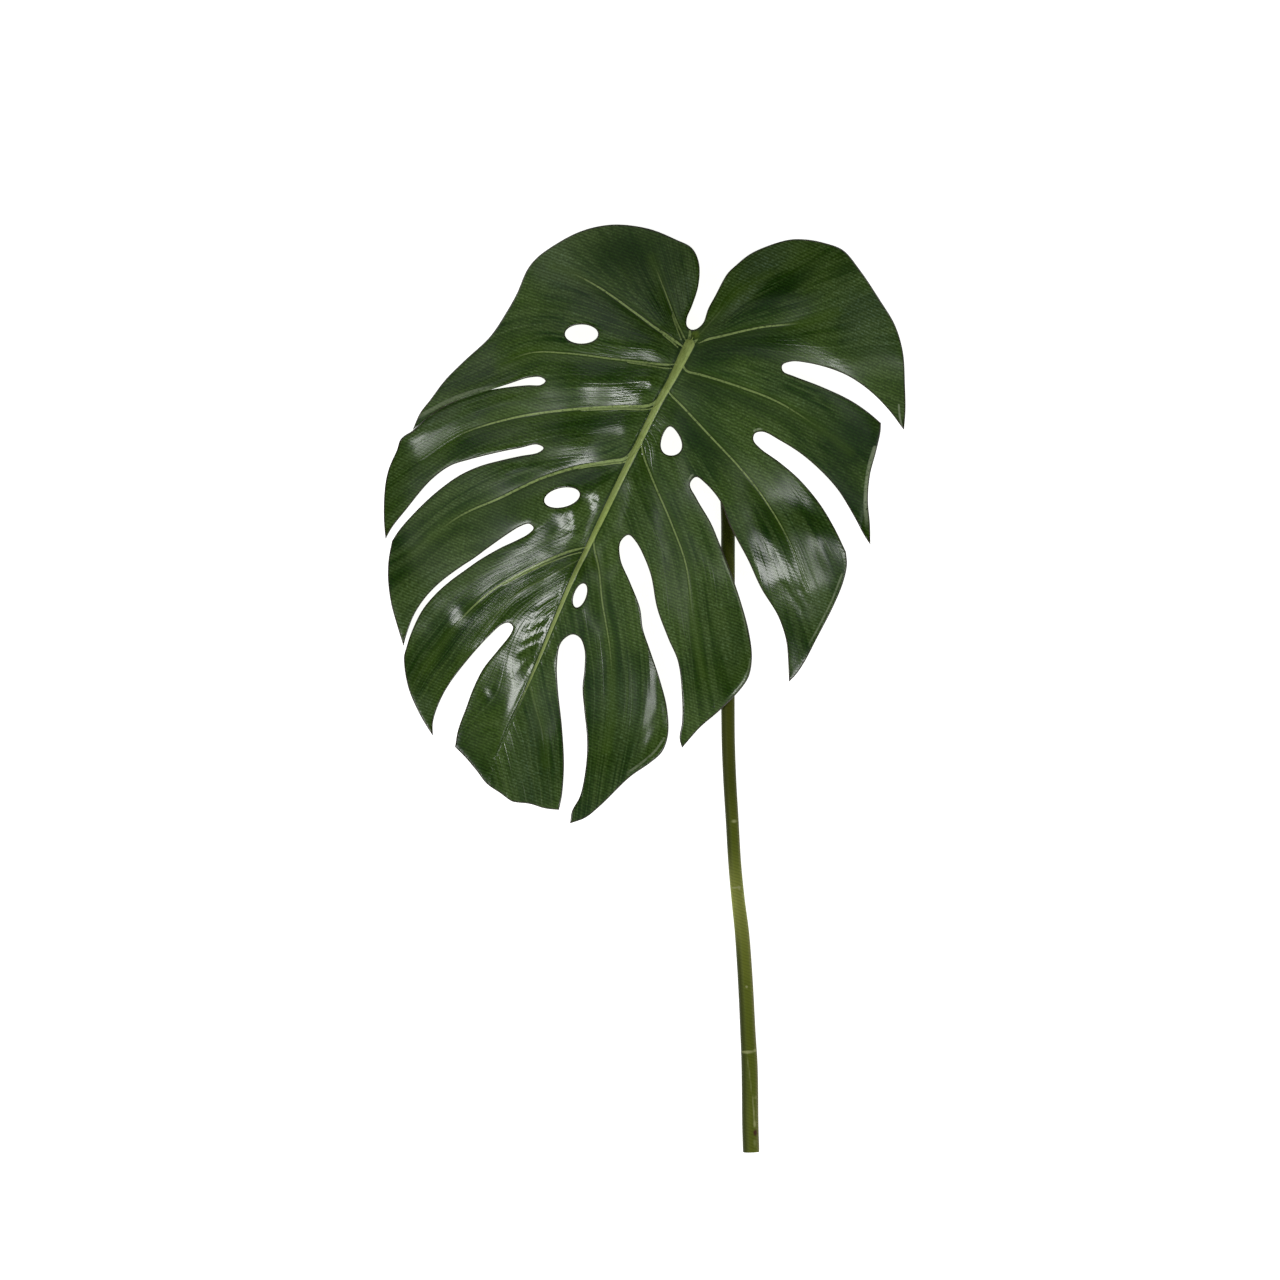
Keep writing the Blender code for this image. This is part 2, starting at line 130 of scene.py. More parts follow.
LEFT_SLIT_4 = [
    (433, 736), (433, 722), (440, 701), (450, 683), (470, 657), (490, 635), (502, 624.5),
    (509, 622.8), (513, 627), (510.5, 634), (498, 650), (483, 669), (473, 689), (466, 708),
    (458, 730), (455, 747),
]
TIP_LOBE_LEFT = [(455, 747), (465, 757), (476, 770), (487, 784), (500, 793), (506, 797.5)]
TIP_LOBE_RIGHT = [(506, 797.5), (512, 801.5), (530, 804), (545, 808.5), (559, 810)]
TIP_SLIT = [
    (559, 810), (562, 795), (564, 765), (562, 727), (558, 690), (557, 665), (560, 645),
    (566, 637.5), (573, 634.5), (580, 638), (584.5, 650), (584.5, 668), (582.5, 688),
    (584, 708), (587, 740), (586, 765), (580, 796), (572, 811), (570, 823.5),
]
RIGHT_LOBE_5 = [
    (570, 823.5), (585, 818), (600, 806), (630, 777), (650, 763), (662, 752), (668, 735),
    (667, 708), (660, 680), (650, 650), (643, 629), (640, 608), (630, 582), (620.5, 559),
    (620.5, 542), (628.5, 535), (636, 542), (644, 557), (651, 576), (657, 608), (668, 638),
    (678, 662), (682, 697), (682, 722), (679.5, 738), (682, 748),
]
RIGHT_LOBE_4 = [
    (682, 748), (700, 727.5), (719, 711), (740, 690), (749, 676), (752, 657), (749, 632),
    (741, 602), (730, 570), (719, 542), (711, 523), (697, 499), (690, 484), (696, 477),
    (705, 483), (720, 501), (730, 526), (748, 560), (761, 588), (778, 616), (786, 640),
    (788, 660), (789, 682),
]
RIGHT_LOBE_3 = [
    (789, 682), (796, 674.5), (804.5, 662), (817, 638), (833, 607), (843, 583), (847, 565),
    (846, 552),
]
RIGHT_SLIT_2 = [
    (846, 552), (835, 529), (820, 504), (800, 480), (780, 462.5), (760, 448), (753.5, 440),
    (755, 433.5), (763, 431.8), (780, 440.5), (800, 453), (820, 470), (838, 490), (855, 518),
    (864, 535), (870.5, 545),
]
RIGHT_LOBE_2 = [
    (870.5, 545), (870, 525), (868, 500), (870, 475), (876, 452), (880.5, 432), (881, 423),
]
RIGHT_SLIT_1 = [
    (881, 423), (868, 412), (850, 400), (820, 386), (795, 376.5), (783, 371), (782.5, 365),
    (792, 361.5), (808, 363), (830, 368.5), (850, 377), (870, 391), (888, 409), (904, 430),
]
MARGIN = [
    BASE_LOBES, LEFT_SLIT_1, LEFT_LOBE_2, LEFT_SLIT_2, LEFT_LOBE_3, LEFT_SLIT_3, LEFT_LOBE_4,
    LEFT_SLIT_4, TIP_LOBE_LEFT, TIP_LOBE_RIGHT, TIP_SLIT, RIGHT_LOBE_5, RIGHT_LOBE_4,
    RIGHT_LOBE_3, RIGHT_SLIT_2, RIGHT_LOBE_2, RIGHT_SLIT_1,
]

# Holes beside the midrib: middle x and y, half length, half width, the turn of the long axis in
# degrees, and how much the hole narrows towards its far end
HOLES = [
    (581.5, 334, 16.5, 9.5, 0, 0.0),
    (562, 497.5, 18, 9.5, 13, 0.0),
    (671, 441, 14.5, 10, 95, 0.35),
    (580, 595.5, 12.5, 6, 70, 0.0),
]

# Ribs, each from its root on the midrib outwards
MIDRIB = [
    (693, 337), (686.5, 350), (672.5, 378), (660, 400), (640, 440), (620.3, 480), (601, 520),
    (586.5, 550), (572, 580), (555, 620), (538.5, 660), (522, 698), (506, 732), (496, 756),
]
RIBS = [
    [(687, 343), (682, 333), (676, 320), (669, 302), (661, 281), (652, 258)],
    [
        (685, 348), (675, 341), (665, 334), (655, 327.5), (630, 309), (600, 288), (570, 272),
        (552, 266),
    ],
    [
        (677, 363.5), (671, 364.5), (664, 364.5), (645, 362.5), (610, 358.5), (570, 353.5),
        (530, 353), (498, 366),
    ],
    [
        (661, 394), (654, 403), (646, 406), (620, 406.5), (566, 410), (513, 418), (459, 435),
        (422, 459),
    ],
    [
        (641, 435), (634, 449), (625, 458.5), (612, 461), (580, 466.5), (540, 479), (500, 498),
        (460, 516), (412, 552),
    ],
    [(586, 547), (565, 553), (525, 571), (490, 592), (455, 626), (426, 668)],
    [(580, 559), (546, 578), (518, 593), (490, 622), (461, 661)],
    [(699, 343), (709, 339), (720, 336.5), (760, 327.5), (800, 322.5), (838, 312)],
    [(698, 336), (720, 311), (735, 293), (770, 273)],
    [
        (686, 356), (683, 365), (687, 371), (700, 374.5), (740, 387), (780, 403), (830, 436),
        (850, 452),
    ],
    [
        (669.5, 385), (668.5, 391), (671.5, 395.5), (681, 405), (710, 436), (740, 468), (763, 497),
        (790, 543), (808, 590),
    ],
    [
        (649, 424), (642, 437), (642.5, 451), (652, 478), (672, 525), (686, 565), (693, 620),
        (702, 675),
    ],
    [(600, 526), (594, 541), (599, 570), (602, 600), (610, 650), (612, 700), (606, 750)],
    [(530, 684), (535, 705), (543, 735), (546, 765)],
]

# The ribs down either half, by their places in RIBS, and the line that parts the halves
LEFT_RIBS = (0, 1, 2, 3, 4, 5, 6, 13)
RIGHT_RIBS = (8, 7, 9, 10, 11, 12, 13)
HALVING_LINE = [(718, 230), (704, 300)] + MIDRIB + [(486, 790), (480, 810)]

# The points of a rib's line that the flow of the veins is taken from: the first, and every so many
FLOW_START = 8
FLOW_STEP = 16

# How ribs change from root to tip, by shares: the keel's width and height, the groove over it, the
# length over which a band or thread is lost, and the crown that is left of it then
KEEL_NARROWING = 0.6
KEEL_FLATTENING = 0.8
GROOVE_FADING = 0.6
FADE_LENGTH = 0.25
LOST_CROWN = 0.4

# Where one lip of a slit stands over the other: the slit's line from its inner end, how much
# higher its upper lip is, and how far the lower lip slips under it. By their shares of the slit's
# length, the step grows up to one place, and the slit is open up to another.
STEPPED_SLITS = [
    ([(545, 381), (510, 386), (470, 398), (431, 418), (400, 440)], 0.0032, 0.0025),
    ([(533, 528), (500, 544), (465, 567), (422, 606), (398, 654)], 0.0022, 0.0),
]
LIP_RISE = 0.6
OPEN_SHARE = 0.15

# Heights of the arched sheet over the surface, in millimetres, at places on it
HEIGHTS = [
    (692, 338, 56), (680, 361, 57.5), (659, 400, 55), (631, 460, 48.5), (600, 520, 40),
    (571, 580, 31), (538, 660, 19), (506, 732, 8.5), (462, 752, 4), (530, 803, 4.5),
    (559, 809, 4.5), (690, 285, 46), (692, 250, 40), (640, 226, 30), (600, 226, 24), (550, 248, 18),
    (500, 320, 9), (455, 368, 4.5), (413, 425, 3), (600, 300, 39), (540, 340, 27), (480, 375, 11.5),
    (391, 463, -1.2), (384, 505, -3.6), (401, 495, -1.2), (430, 470, 4.5), (480, 420, 15),
    (560, 430, 32), (388, 580, 1.2), (404, 645, 2), (450, 540, 10), (520, 500, 26), (414, 703, 2.2),
    (433, 736, 2.8), (450, 640, 6.5), (520, 590, 21.5), (727, 274, 46), (750, 254, 40),
    (800, 239, 29), (843, 250, 20), (885, 307, 9), (903, 360, 2), (905, 400, -3.4), (890, 402, -1),
    (900, 420, -2.6), (800, 310, 36), (850, 350, 17), (876, 440, 2.2), (869, 500, 0.6),
    (869, 540, 1.2), (800, 430, 24), (740, 420, 41), (846, 560, 1.5), (808, 651, 1.5),
    (789, 680, 1.8), (780, 520, 18), (800, 600, 6), (733, 697, 12.5), (748, 676, 12.5),
    (752, 640, 13.5), (682, 746, 4.5), (700, 600, 22), (715, 660, 15), (668, 735, 6),
    (640, 770, 4.5), (600, 806, 3), (571, 820, 2), (620, 650, 19), (600, 720, 9.5),
]

# The midrib's raised pale band on the upper face: share of its length, width
MIDRIB_BAND = [
    (0, 0.0003), (0.006, 0.0008), (0.010, 0.0054), (0.02, 0.0060), (0.05, 0.0056), (0.08, 0.0048),
    (0.12, 0.0040), (0.25, 0.0035), (0.4, 0.0033), (0.5, 0.0028), (0.66, 0.0020), (0.8, 0.0014),
    (0.93, 0.0010), (1, 0.0006),
]
MIDRIB_CROWN = 0.0010
CROWN_FADING = 0.6
MIDRIB_LOST = 1.15
MIDRIB_SUNK = 0.9

# The gutters at the left and right sides of that band
GUTTER_DEPTHS = (0.00048, 0.00018)
GUTTER_REACH = 0.0007
GUTTER_FADING = 0.7

# Each lateral rib's pale thread: its width at the root, how pale it is there, the share of the
# rib's length at which it is lost in the green, and the share to which a second one runs beside it
THREADS = [
    (0.0010, 0.60, 0.95, 0.26), (0.0016, 1.00, 0.90, 0.10), (0.0013, 0.75, 0.95, 0.24),
    (0.0018, 0.95, 0.90, 0.30), (0.0020, 1.00, 0.90, 0.26), (0.0015, 0.90, 0.80, 0.40),
    (0.0010, 0.20, 0.90, 0.0), (0.0014, 0.90, 0.75, 0.0), (0.0010, 0.15, 0.50, 0.0),
    (0.0014, 0.70, 0.80, 0.0), (0.0012, 0.80, 0.90, 0.0), (0.0011, 0.65, 0.80, 0.0),
    (0.0010, 0.55, 0.70, 0.0), (0.0010, 0.15, 0.80, 0.0),
]
# A thread's first width as a share of that at the root, the share of its length at which it has
# that, its width at the tip, its height, and the groove that it lies in
THREAD_START = 0.3
THREAD_RISE = 0.06
THREAD_TIP = 0.0007
THREAD_CROWN = 0.00028
THREAD_GROOVE = 0.0005
THREAD_GROOVE_REACH = 0.0017

# The second threads: how far beside the first one they start and end, the first point of its line
# that they have, and where they would be lost
TWIN_OFFSETS = (0.0022, 0.0010)
TWIN_START = 3
TWIN_LOST = 1.2

# The prongs of the midrib's forked top, on either side of a pocket: the line, and the widths of
# its tip and its foot
PRONGS = [
    ([(690, 330.5), (689.8, 336), (688, 345)], 0.0012, 0.0026),
    ([(698, 339), (694.5, 341.5), (691, 345)], 0.0006, 0.0034),
]
PRONG_PALE = 0.8
PRONG_LOST = 1.5
PRONG_SHADED = 0.3
POCKET = (695.5, 334.5)
POCKET_REACH = 0.0025

# Painted highlights where the margin rolls over: the line, its width and how pale it is
MARGIN_HIGHLIGHT_LINES = [
    ([(722, 556), (736, 592), (744, 620), (748.5, 645)], 0.0011, 0.35),
    ([(750.5, 658), (747, 673), (738, 688), (724, 702)], 0.0010, 0.25),
    ([(664, 738), (655, 751), (640, 764), (624, 775)], 0.0014, 0.45),
    ([(875, 448), (869, 470), (866, 500), (867.5, 532)], 0.0030, 0.70),
    ([(898.8, 405), (900, 418), (903.2, 431)], 0.0012, 0.60),
    ([(842, 574), (832, 600), (818, 628), (806, 650)], 0.0012, 0.45),
    ([(418, 417), (447, 401.5), (470, 392.5), (505, 384.5)], 0.0024, 0.34),
    ([(754, 431), (758, 429), (763, 429.5)], 0.0012, 0.60),
    ([(689.5, 479), (691, 476), (694, 474)], 0.0012, 0.50),
]
MARGIN_CROWN = 0.0001

# Folds of the sheet: the crest's line, its height (a trough's is negative) and its reach
FOLDS = [
    (
        [(702, 334), (725, 315), (740, 305), (755, 297), (770, 291), (785, 283), (800, 272)],
        -0.0008, 0.0040,
    ),
    (
        [(575, 559), (546, 578), (518, 593), (503, 604), (490, 622), (474, 643), (461, 661)],
        0.0005, 0.0022,
    ),
    ([(561, 592), (547, 600), (532, 612)], -0.00038, 0.0014),
    ([(556, 604), (543, 611), (528, 621)], -0.00028, 0.0012),
    ([(551, 617), (537, 623), (520, 634)], -0.00040, 0.0014),
    ([(546, 630), (532, 636), (516, 645)], -0.00028, 0.0012),
    ([(541, 642), (528, 648), (512, 657)], -0.00026, 0.0013),
    ([(535, 655), (522, 666), (511, 676), (499, 686)], -0.00018, 0.0014),
    ([(752, 657), (742, 676), (724, 700), (702, 723)], 0.0006, 0.0022),
    ([(666, 742), (655, 756), (640, 766), (625, 775)], 0.0005, 0.0022),
    ([(590, 548), (574, 582), (557, 622), (541, 660), (525, 697), (516, 716)], 0.0036, 0.0110),
    ([(572, 590), (560, 618), (543, 655), (526, 692), (507, 732), (498, 752)], 0.0010, 0.0080),
    ([(588, 499), (597, 504.5), (607, 510)], -0.00025, 0.0012),
    ([(564, 530.5), (577, 530), (590, 531)], -0.00022, 0.0011),
    ([(722, 536), (750, 538), (778, 537), (808, 531), (840, 520), (880, 500)], 0.0032, 0.0210),
    ([(779, 578), (787, 590), (797, 604), (806, 618)], 0.00030, 0.0013),
    ([(797, 584), (804, 597), (810, 607)], 0.00025, 0.0012),
]
FOLD_START = 0.2
FOLD_END = 0.3

# Puckers of the sheet: the middle, the reach along and across in millimetres, the turn of the long
# side, and how much further the sheet leans to the right and down the picture there, in degrees
PUCKERS = [
    (654, 358, 8, 2.8, 0, -7, 3), (643, 386, 7, 2.2, -10, -4, 7), (600, 378, 20, 4, 5, 4, -6),
    (622, 433, 6, 4, 0, -7, 3), (590, 500, 8, 5, 60, -9, 6), (568, 524, 8, 5, 60, -4, 5),
    (465, 575, 22, 8, 40, 3, -7), (488, 693, 3, 3, 0, -9, 4), (655, 690, 16, 3, -78, 14, 4),
    (650, 735, 10, 4, 60, 14, 8), (600, 386, 24, 3.5, 4, 3, -8), (535, 395, 16, 8, 10, 4, -6),
    (540, 402, 12, 6, 10, 5, -4), (585, 440, 18, 3.5, 10, 3, -8), (540, 462, 12, 6, 12, 4, -5),
    (596, 506, 6, 2, 70, -6, 4), (582, 520, 5, 2.2, 60, -6, 3), (560, 536, 6, 3, 30, -6, -2),
    (428, 612, 10, 8, 50, 0, -6), (453, 618, 8, 6, 50, -8, 5), (481, 648, 14, 2, 48, -10, 6),
    (648, 700, 16, 6, -80, 12, 2), (436, 432, 12, 2.5, 38, -6, 6), (455, 400, 24, 2.4, 22, -3, 4),
    (818, 357, 24, 9, -18, -9, 8), (868.5, 492, 20, 1.8, 82, 12, 18),
    (902.5, 408, 10, 1.5, 85, 12, 18), (650, 385, 5, 3, -20, -15, 7), (589, 520, 6, 3, 60, -16, 0),
    (575, 532, 6, 4, 30, -10, -4), (457, 615, 7, 5, 50, -6, 0), (645, 722, 10, 5, 70, 14, 4),
    (650, 684, 14, 6, -75, 12, 2), (648, 722, 14, 8, -80, 5, 3), (655, 686, 10, 4, -78, -1, -4),
    (528, 632, 24, 10, 62, 3, 5), (545, 590, 12, 8, 62, 3, 9), (540, 617, 26, 12, 62, -1, 6),
    (513, 702, 20, 4.5, 65, -9, 0), (560, 588, 10, 6, 62, -3, 3), (796, 489, 18, 10, -50, 1, 14),
    (815, 540, 16, 3.5, -62, 5, 5), (752, 533, 18, 4, -62, 1, 5), (767, 545, 12, 3, -62, 0, 5),
    (806, 592, 24, 18, -60, 3.5, 4.2), (748, 512, 10, 6, -55, 0, 6),
    (814, 606, 16, 14, -60, 2, 4.5), (774, 571, 12, 8, -20, 5, 4), (786, 343, 10, 6, -20, 0, -6),
    (846, 370, 16, 8, -30, -5, -3), (806, 508, 10, 6, -50, 0, 8), (594, 506, 10, 6, 70, -5, 0),
    (558, 540, 10, 5, 20, -6, 2), (587, 535, 8, 4, 62, -14, -3), (432, 438, 22, 7, 40, -2, 9),
    (414, 452, 14, 5, 55, -7, 6), (440, 427, 12, 5, 40, 2, -3), (645, 386, 8, 5, -10, -8, 9),
    (603, 398, 24, 6, 5, 2, -7), (630, 393, 12, 6, 3, -4, 4), (568, 516, 10, 6, 60, -3, 9),
    (598, 502, 8, 5, 60, -7, 0), (534, 652, 18, 6, 62, 4, 4),
]

# Where the wax of the upper face is duller, or glossier if below 0: the middle, the reach along
# and across in millimetres, the turn of the long side, and how dull it is
DULL_PATCHES = [
    (738, 372, 34, 14, -8, 1), (808, 404, 36, 12, -35, 1), (738, 425, 36, 20, -42, 1),
    (804, 438, 34, 11, -42, 1), (862, 470, 24, 14, -75, 0.8), (710, 470, 34, 12, -62, 1),
    (676, 535, 26, 8, -75, 0.6), (887, 390, 20, 14, -40, 0.8), (750, 320, 30, 9, 18, 1),
    (620, 252, 34, 22, 0, 0.8), (548, 398, 12, 12, 0, 0.25), (612, 452, 8, 10, 60, 0.7),
    (545, 450, 12, 6, 12, 0.3), (610, 430, 10, 7, 10, 0.15), (455, 520, 30, 28, 45, 0.7),
    (606, 522, 18, 6, 62, 1), (612, 552, 14, 6, 75, 1), (545, 712, 14, 8, 80, 0.6),
    (702, 535, 22, 6, -62, 0.9), (594, 600, 16, 5, -78, 0.9), (505, 414, 18, 6, 12, 0.7),
    (824, 560, 20, 10, -62, 0.15), (523, 477, 10, 4, 15, 0.6), (645, 705, 24, 10, -80, 0.12),
    (694, 337, 5.5, 4.5, 0, 1), (676, 588, 22, 7, -72, 0.35), (627, 397, 14, 4, 0, -0.10),
    (645, 386, 6, 4, -10, -0.08), (535, 625, 22, 10, 62, -0.08), (770, 565, 18, 10, -60, -0.05),
    (430, 437, 24, 8, 40, 0.12), (566, 525, 12, 10, 0, -0.03), (595, 503, 10, 7, 60, -0.03),
    (603, 398, 5, 6, 0, 0.25),
]
DULL_EDGE = 1.5

# Painted shade, where the green is deeper, and painted sheen, where it is paler if below 0: the
# middle, the reach along and across in millimetres, the turn of the long side, and how much
SHADE_AND_SHEEN_PATCHES = [
    (780, 291, 28, 6, 36, 1.0), (742, 301, 14, 3.5, 40, -1.0), (760, 343, 30, 8, 3, 0.7),
    (706, 362, 12, 10, -20, 0.6), (862, 434, 18, 14, -40, 1.0), (846, 488, 28, 8, -60, 0.7),
    (742, 398, 32, 6, -25, 0.6), (700, 440, 20, 8, -45, 0.4), (622, 252, 30, 14, 0, 0.9),
    (600, 369, 30, 6, 0, 0.8), (590, 424, 32, 7, 5, 0.8), (470, 442, 22, 8, 22, 0.7),
    (575, 481, 20, 6, 15, 0.8), (612, 600, 24, 10, -80, 0.3), (786, 620, 16, 7, -62, 0.7),
    (702, 430, 28, 12, -50, 0.6), (652, 472, 20, 10, -62, 0.6), (812, 598, 24, 14, -60, -0.8),
    (620, 705, 34, 18, -82, -0.4), (540, 785, 24, 14, -10, -0.4), (540, 500, 16, 8, 20, -0.5),
    (688, 285, 10, 7, 80, -0.7), (426, 706, 10, 6, -62, -0.6), (560, 258, 20, 20, 60, -0.8),
    (868, 320, 26, 20, -60, -0.8), (765, 262, 24, 10, 35, -0.7), (440, 430, 26, 10, 40, -0.6),
    (735, 650, 22, 10, -75, -0.4), (430, 600, 30, 14, 50, -0.6), (530, 740, 24, 8, 80, -0.5),
    (655, 610, 30, 8, -70, -0.3),
]

# Gentle waves of the sheet, by their length and height, the fall at its edges, and how softly it
# settles on the surface
WAVES = [(0.030, 0.0005), (0.012, 0.00022)]
EDGE_DROP = 0.00035
EDGE_REACH = 0.0009
SETTLING = 0.0012

# The least and the most of the values that the materials read, where those have limits
VALUE_LIMITS = {
    "midrib_across": (0, 4), "midrib_side": (-2, 2), "thread_across": (0, 6), "deep": (-1, 1),
}

# The stem's middle line from its cut foot to the knuckle: x and y as drawn, then how high its
# underside is over the surface, and its width
STEM = [
    (751.2, 1152, 0.0, 0.0091), (750.4, 1125, 0.0, 0.0091), (749.6, 1066, 0.0, 0.0090),
    (748, 1033, 0.0, 0.0085), (745.5, 983, 0.0, 0.0083), (742, 933, 0.0, 0.0080),
    (738.2, 900, 0.0, 0.0074), (734.8, 864, 0.0, 0.0072), (732.2, 820, 0.0002, 0.0072),
    (729.8, 780, 0.0006, 0.0073), (728.3, 740, 0.0013, 0.0074), (728, 680, 0.0023, 0.0075),
    (728, 620, 0.0038, 0.0076), (728, 560, 0.0063, 0.0077), (727.5, 505, 0.0105, 0.0077),
    (723, 455, 0.0175, 0.0078), (716, 410, 0.0262, 0.0080), (706, 372, 0.0358, 0.0086),
    (697, 352, 0.0426, 0.0088), (694, 347, 0.0448, 0.0086),
]
FLUTES = 9
FLUTE_DEPTH = 0.00005
KNUCKLE_LENGTH = 0.018
KNUCKLE_SWELL = 0.05

# Marks on the stem, as seen from above: drawn height in the picture, place across it from -1 at
# its left side to 1 at its right, length along it, width across it, how pale (browner if below 0)
STEM_MARKS = [
    (1051.5, -0.15, 0.0007, 0.0036, 1.0), (1050, 0.75, 0.0008, 0.0010, 0.6),
    (887, -0.3, 0.0005, 0.0024, 0.8), (888, 0.35, 0.0014, 0.0008, 0.7),
    (896, 0.75, 0.0012, 0.0009, 0.5), (821, 0.25, 0.0008, 0.0016, 0.9),
    (986.5, 0.1, 0.0007, 0.0007, 1.0), (1062, -0.2, 0.0040, 0.0004, 0.5),
    (1074, -0.05, 0.0040, 0.0004, 0.55), (1086, 0.1, 0.0040, 0.0004, 0.5),
    (1097, 0.65, 0.0010, 0.0009, 0.5), (1100, 0.3, 0.0040, 0.0005, 0.5),
    (1112, 0.42, 0.0040, 0.0005, 0.7), (1124, 0.5, 0.0025, 0.0008, 0.8),
    (1132, 0.55, 0.0022, 0.0012, -0.9), (1142, 0.45, 0.0030, 0.0012, 0.4),
]
MARK_HEIGHT = 0.00012

# Sizes of the rings that close the stem's ends, as shares of the end's own
CUT_RINGS = (0.25, 0.5, 0.75, 0.94)

# Colours, in linear light
DARK_GREEN = (0.006, 0.029, 0.0002, 1)
MID_GREEN = (0.037, 0.076, 0.0060, 1)
VEIN_GREEN = (0.085, 0.138, 0.028, 1)
# Painted sheen, for the tones below 0
PAINTED_SHEEN_GREEN = (0.085, 0.130, 0.042, 1)
HATCH_LIGHT = (1.70, 1.60, 2.80, 1)
HATCH_DARK = (0.50, 0.56, 0.50, 1)
RIB_GREEN = (0.052, 0.105, 0.003, 1)
SHADED_GREEN = (0.008, 0.022, 0.0005, 1)
POCKET_OLIVE = (0.095, 0.150, 0.016, 1)
PALE_RIB = (0.300, 0.400, 0.130, 1)
# Painted highlight of the rolled margins
MARGIN_HIGHLIGHT_GREEN = (0.340, 0.400, 0.250, 1)
PALE_BAND = (0.375, 0.480, 0.140, 1)
DULL_BAND = (0.200, 0.260, 0.055, 1)
EDGE_BROWN = (0.022, 0.010, 0.008, 1)
EDGE_PALE = (0.060, 0.060, 0.020, 1)
UNDER_GREEN = (0.075, 0.125, 0.035, 1)
UNDER_PALE = (0.100, 0.155, 0.050, 1)
UNDER_VEIN = (0.150, 0.210, 0.070, 1)
UNDER_RIB = (0.220, 0.280, 0.095, 1)
STEM_GREEN = (0.085, 0.120, 0.010, 1)
STEM_OLIVE = (0.140, 0.165, 0.022, 1)
STEM_BRIGHT = (0.210, 0.240, 0.040, 1)
STEM_SUNLIT = (0.270, 0.300, 0.065, 1)
STEM_SHADE = (0.030, 0.038, 0.006, 1)
STEM_SHEEN_GREY = (0.160, 0.150, 0.050, 1)
STEM_RED = (0.070, 0.030, 0.016, 1)
STEM_DARK = (0.038, 0.044, 0.005, 1)
STEM_SCAR = (0.340, 0.360, 0.150, 1)
CUT_PALE = (0.300, 0.330, 0.150, 1)
CUT_GREEN = (0.160, 0.210, 0.060, 1)
CUT_BROWN = (0.090, 0.070, 0.025, 1)
FLOOR_WHITE = (0.90, 0.90, 0.90, 1)
FLOOR_GREY = (0.86, 0.86, 0.86, 1)

# The hatching of the upper face, and the roughness of its glossiest wax, what its dullest wax
# adds, and the midrib's band
HATCH_TURN = 0.37
HATCH_SPACING = 0.00165
GLOSSIEST = 0.065
DULLEST = 0.85
BAND_ROUGHNESS = 0.48

# Along the stem from its foot: the middle and the reach of its brightest stretch, and from where
# to where it darkens
SUNLIT_PLACE = 0.138
SUNLIT_REACH = 0.035
DARKENING = (0.16, 0.215)

# The studio: soft boxes by name, direction, width, height and power
LIGHTS = [
    ("left_box", 46, 208, 0.85, 0.85, 42),
    ("right_box", 56, -35, 0.8, 0.8, 31),
    ("back_box", 52, 135, 2.2, 1.6, 8),
]
LIGHT_DISTANCE = 3.3
FLOOR_SIZE = 12.0
FLOOR_DROP = 0.0002
FLOOR_GLOW = 0.90
HORIZON = 0.4
FRONT = 0.5
OVERHEAD = 0.02
PICTURE_SIDE = 1280
SENSOR = 36.0


def smooth_line(points, step):
    """A smooth curve through the points, divided about every step, in drawing units."""
    knots = np.array(points, float)
    before = 2 * knots[0] - knots[1]
    after = 2 * knots[-1] - knots[-2]
    knots = np.vstack((before, knots, after))
    line = [knots[1]]
    for p0, p1, p2, p3 in zip(knots, knots[1:], knots[2:], knots[3:]):
        pieces = max(2, round(np.linalg.norm((p2 - p1)[:2]) / step))
        t1 = np.linalg.norm(p1 - p0) ** 0.5
        t2 = t1 + np.linalg.norm(p2 - p1) ** 0.5
        t3 = t2 + np.linalg.norm(p3 - p2) ** 0.5
        for t in np.linspace(t1, t2, pieces + 1)[1:]:
            a = p0 + (p1 - p0) * t / t1
            b = p1 + (p2 - p1) * (t - t1) / (t2 - t1)
            c = p2 + (p3 - p2) * (t - t2) / (t3 - t2)
            d = a + (b - a) * t / t2
            e = b + (c - b) * (t - t1) / (t3 - t1)
            line.append(d + (e - d) * (t - t1) / (t2 - t1))
    return np.array(line)


def sideways(line):
    """Unit vectors across a line, to its right as it is drawn."""
    along = np.gradient(line, axis=0)
    along /= np.linalg.norm(along, axis=1)[:, None]
    return np.column_stack((-along[:, 1], along[:, 0]))


def beside(line, offset):
    """The line moved sideways by an offset for each of its points, in drawing units."""
    return line + sideways(line) * np.reshape(offset, (-1, 1))


def ring(hole):
    """A hole's edge: an ellipse, drawn in towards one end."""
    x, y, half_length, half_width, turn, narrowing = hole
    angle = np.linspace(0, 2 * np.pi, HOLE_SIDES, endpoint=False)
    along = half_length * np.cos(angle)
    across = half_width * np.sin(angle) * (1 - narrowing * np.cos(angle))
    turn = np.radians(turn)
    return np.column_stack((
        x + along * np.cos(turn) + across * np.sin(turn),
        y - along * np.sin(turn) + across * np.cos(turn),
    ))


def thin_plate(knots):
    """The smoothest surface through knots of x, y and height, as a function of places."""
    def bend(a, b):
        square = ((a[:, None, :] - b[None, :, :]) ** 2).sum(axis=2)
        return square * np.log(square + 1e-9)

    def flat(a):
        return np.column_stack((np.ones(len(a)), a))

    scale = 1 / DRAWN_WIDTH
    knots = np.array(knots, float)
    places = knots[:, :2] * scale
    size = len(places)
    system = np.zeros((size + 3, size + 3))
    system[:size, :size] = bend(places, places)
    system[:size, size:] = flat(places)
    system[size:, :size] = flat(places).T
    weights = np.linalg.solve(system, np.append(knots[:, 2], np.zeros(3)))

    def surface(at):
        at = at * scale
        return bend(at, places) @ weights[:size] + flat(at) @ weights[size:]

    return surface


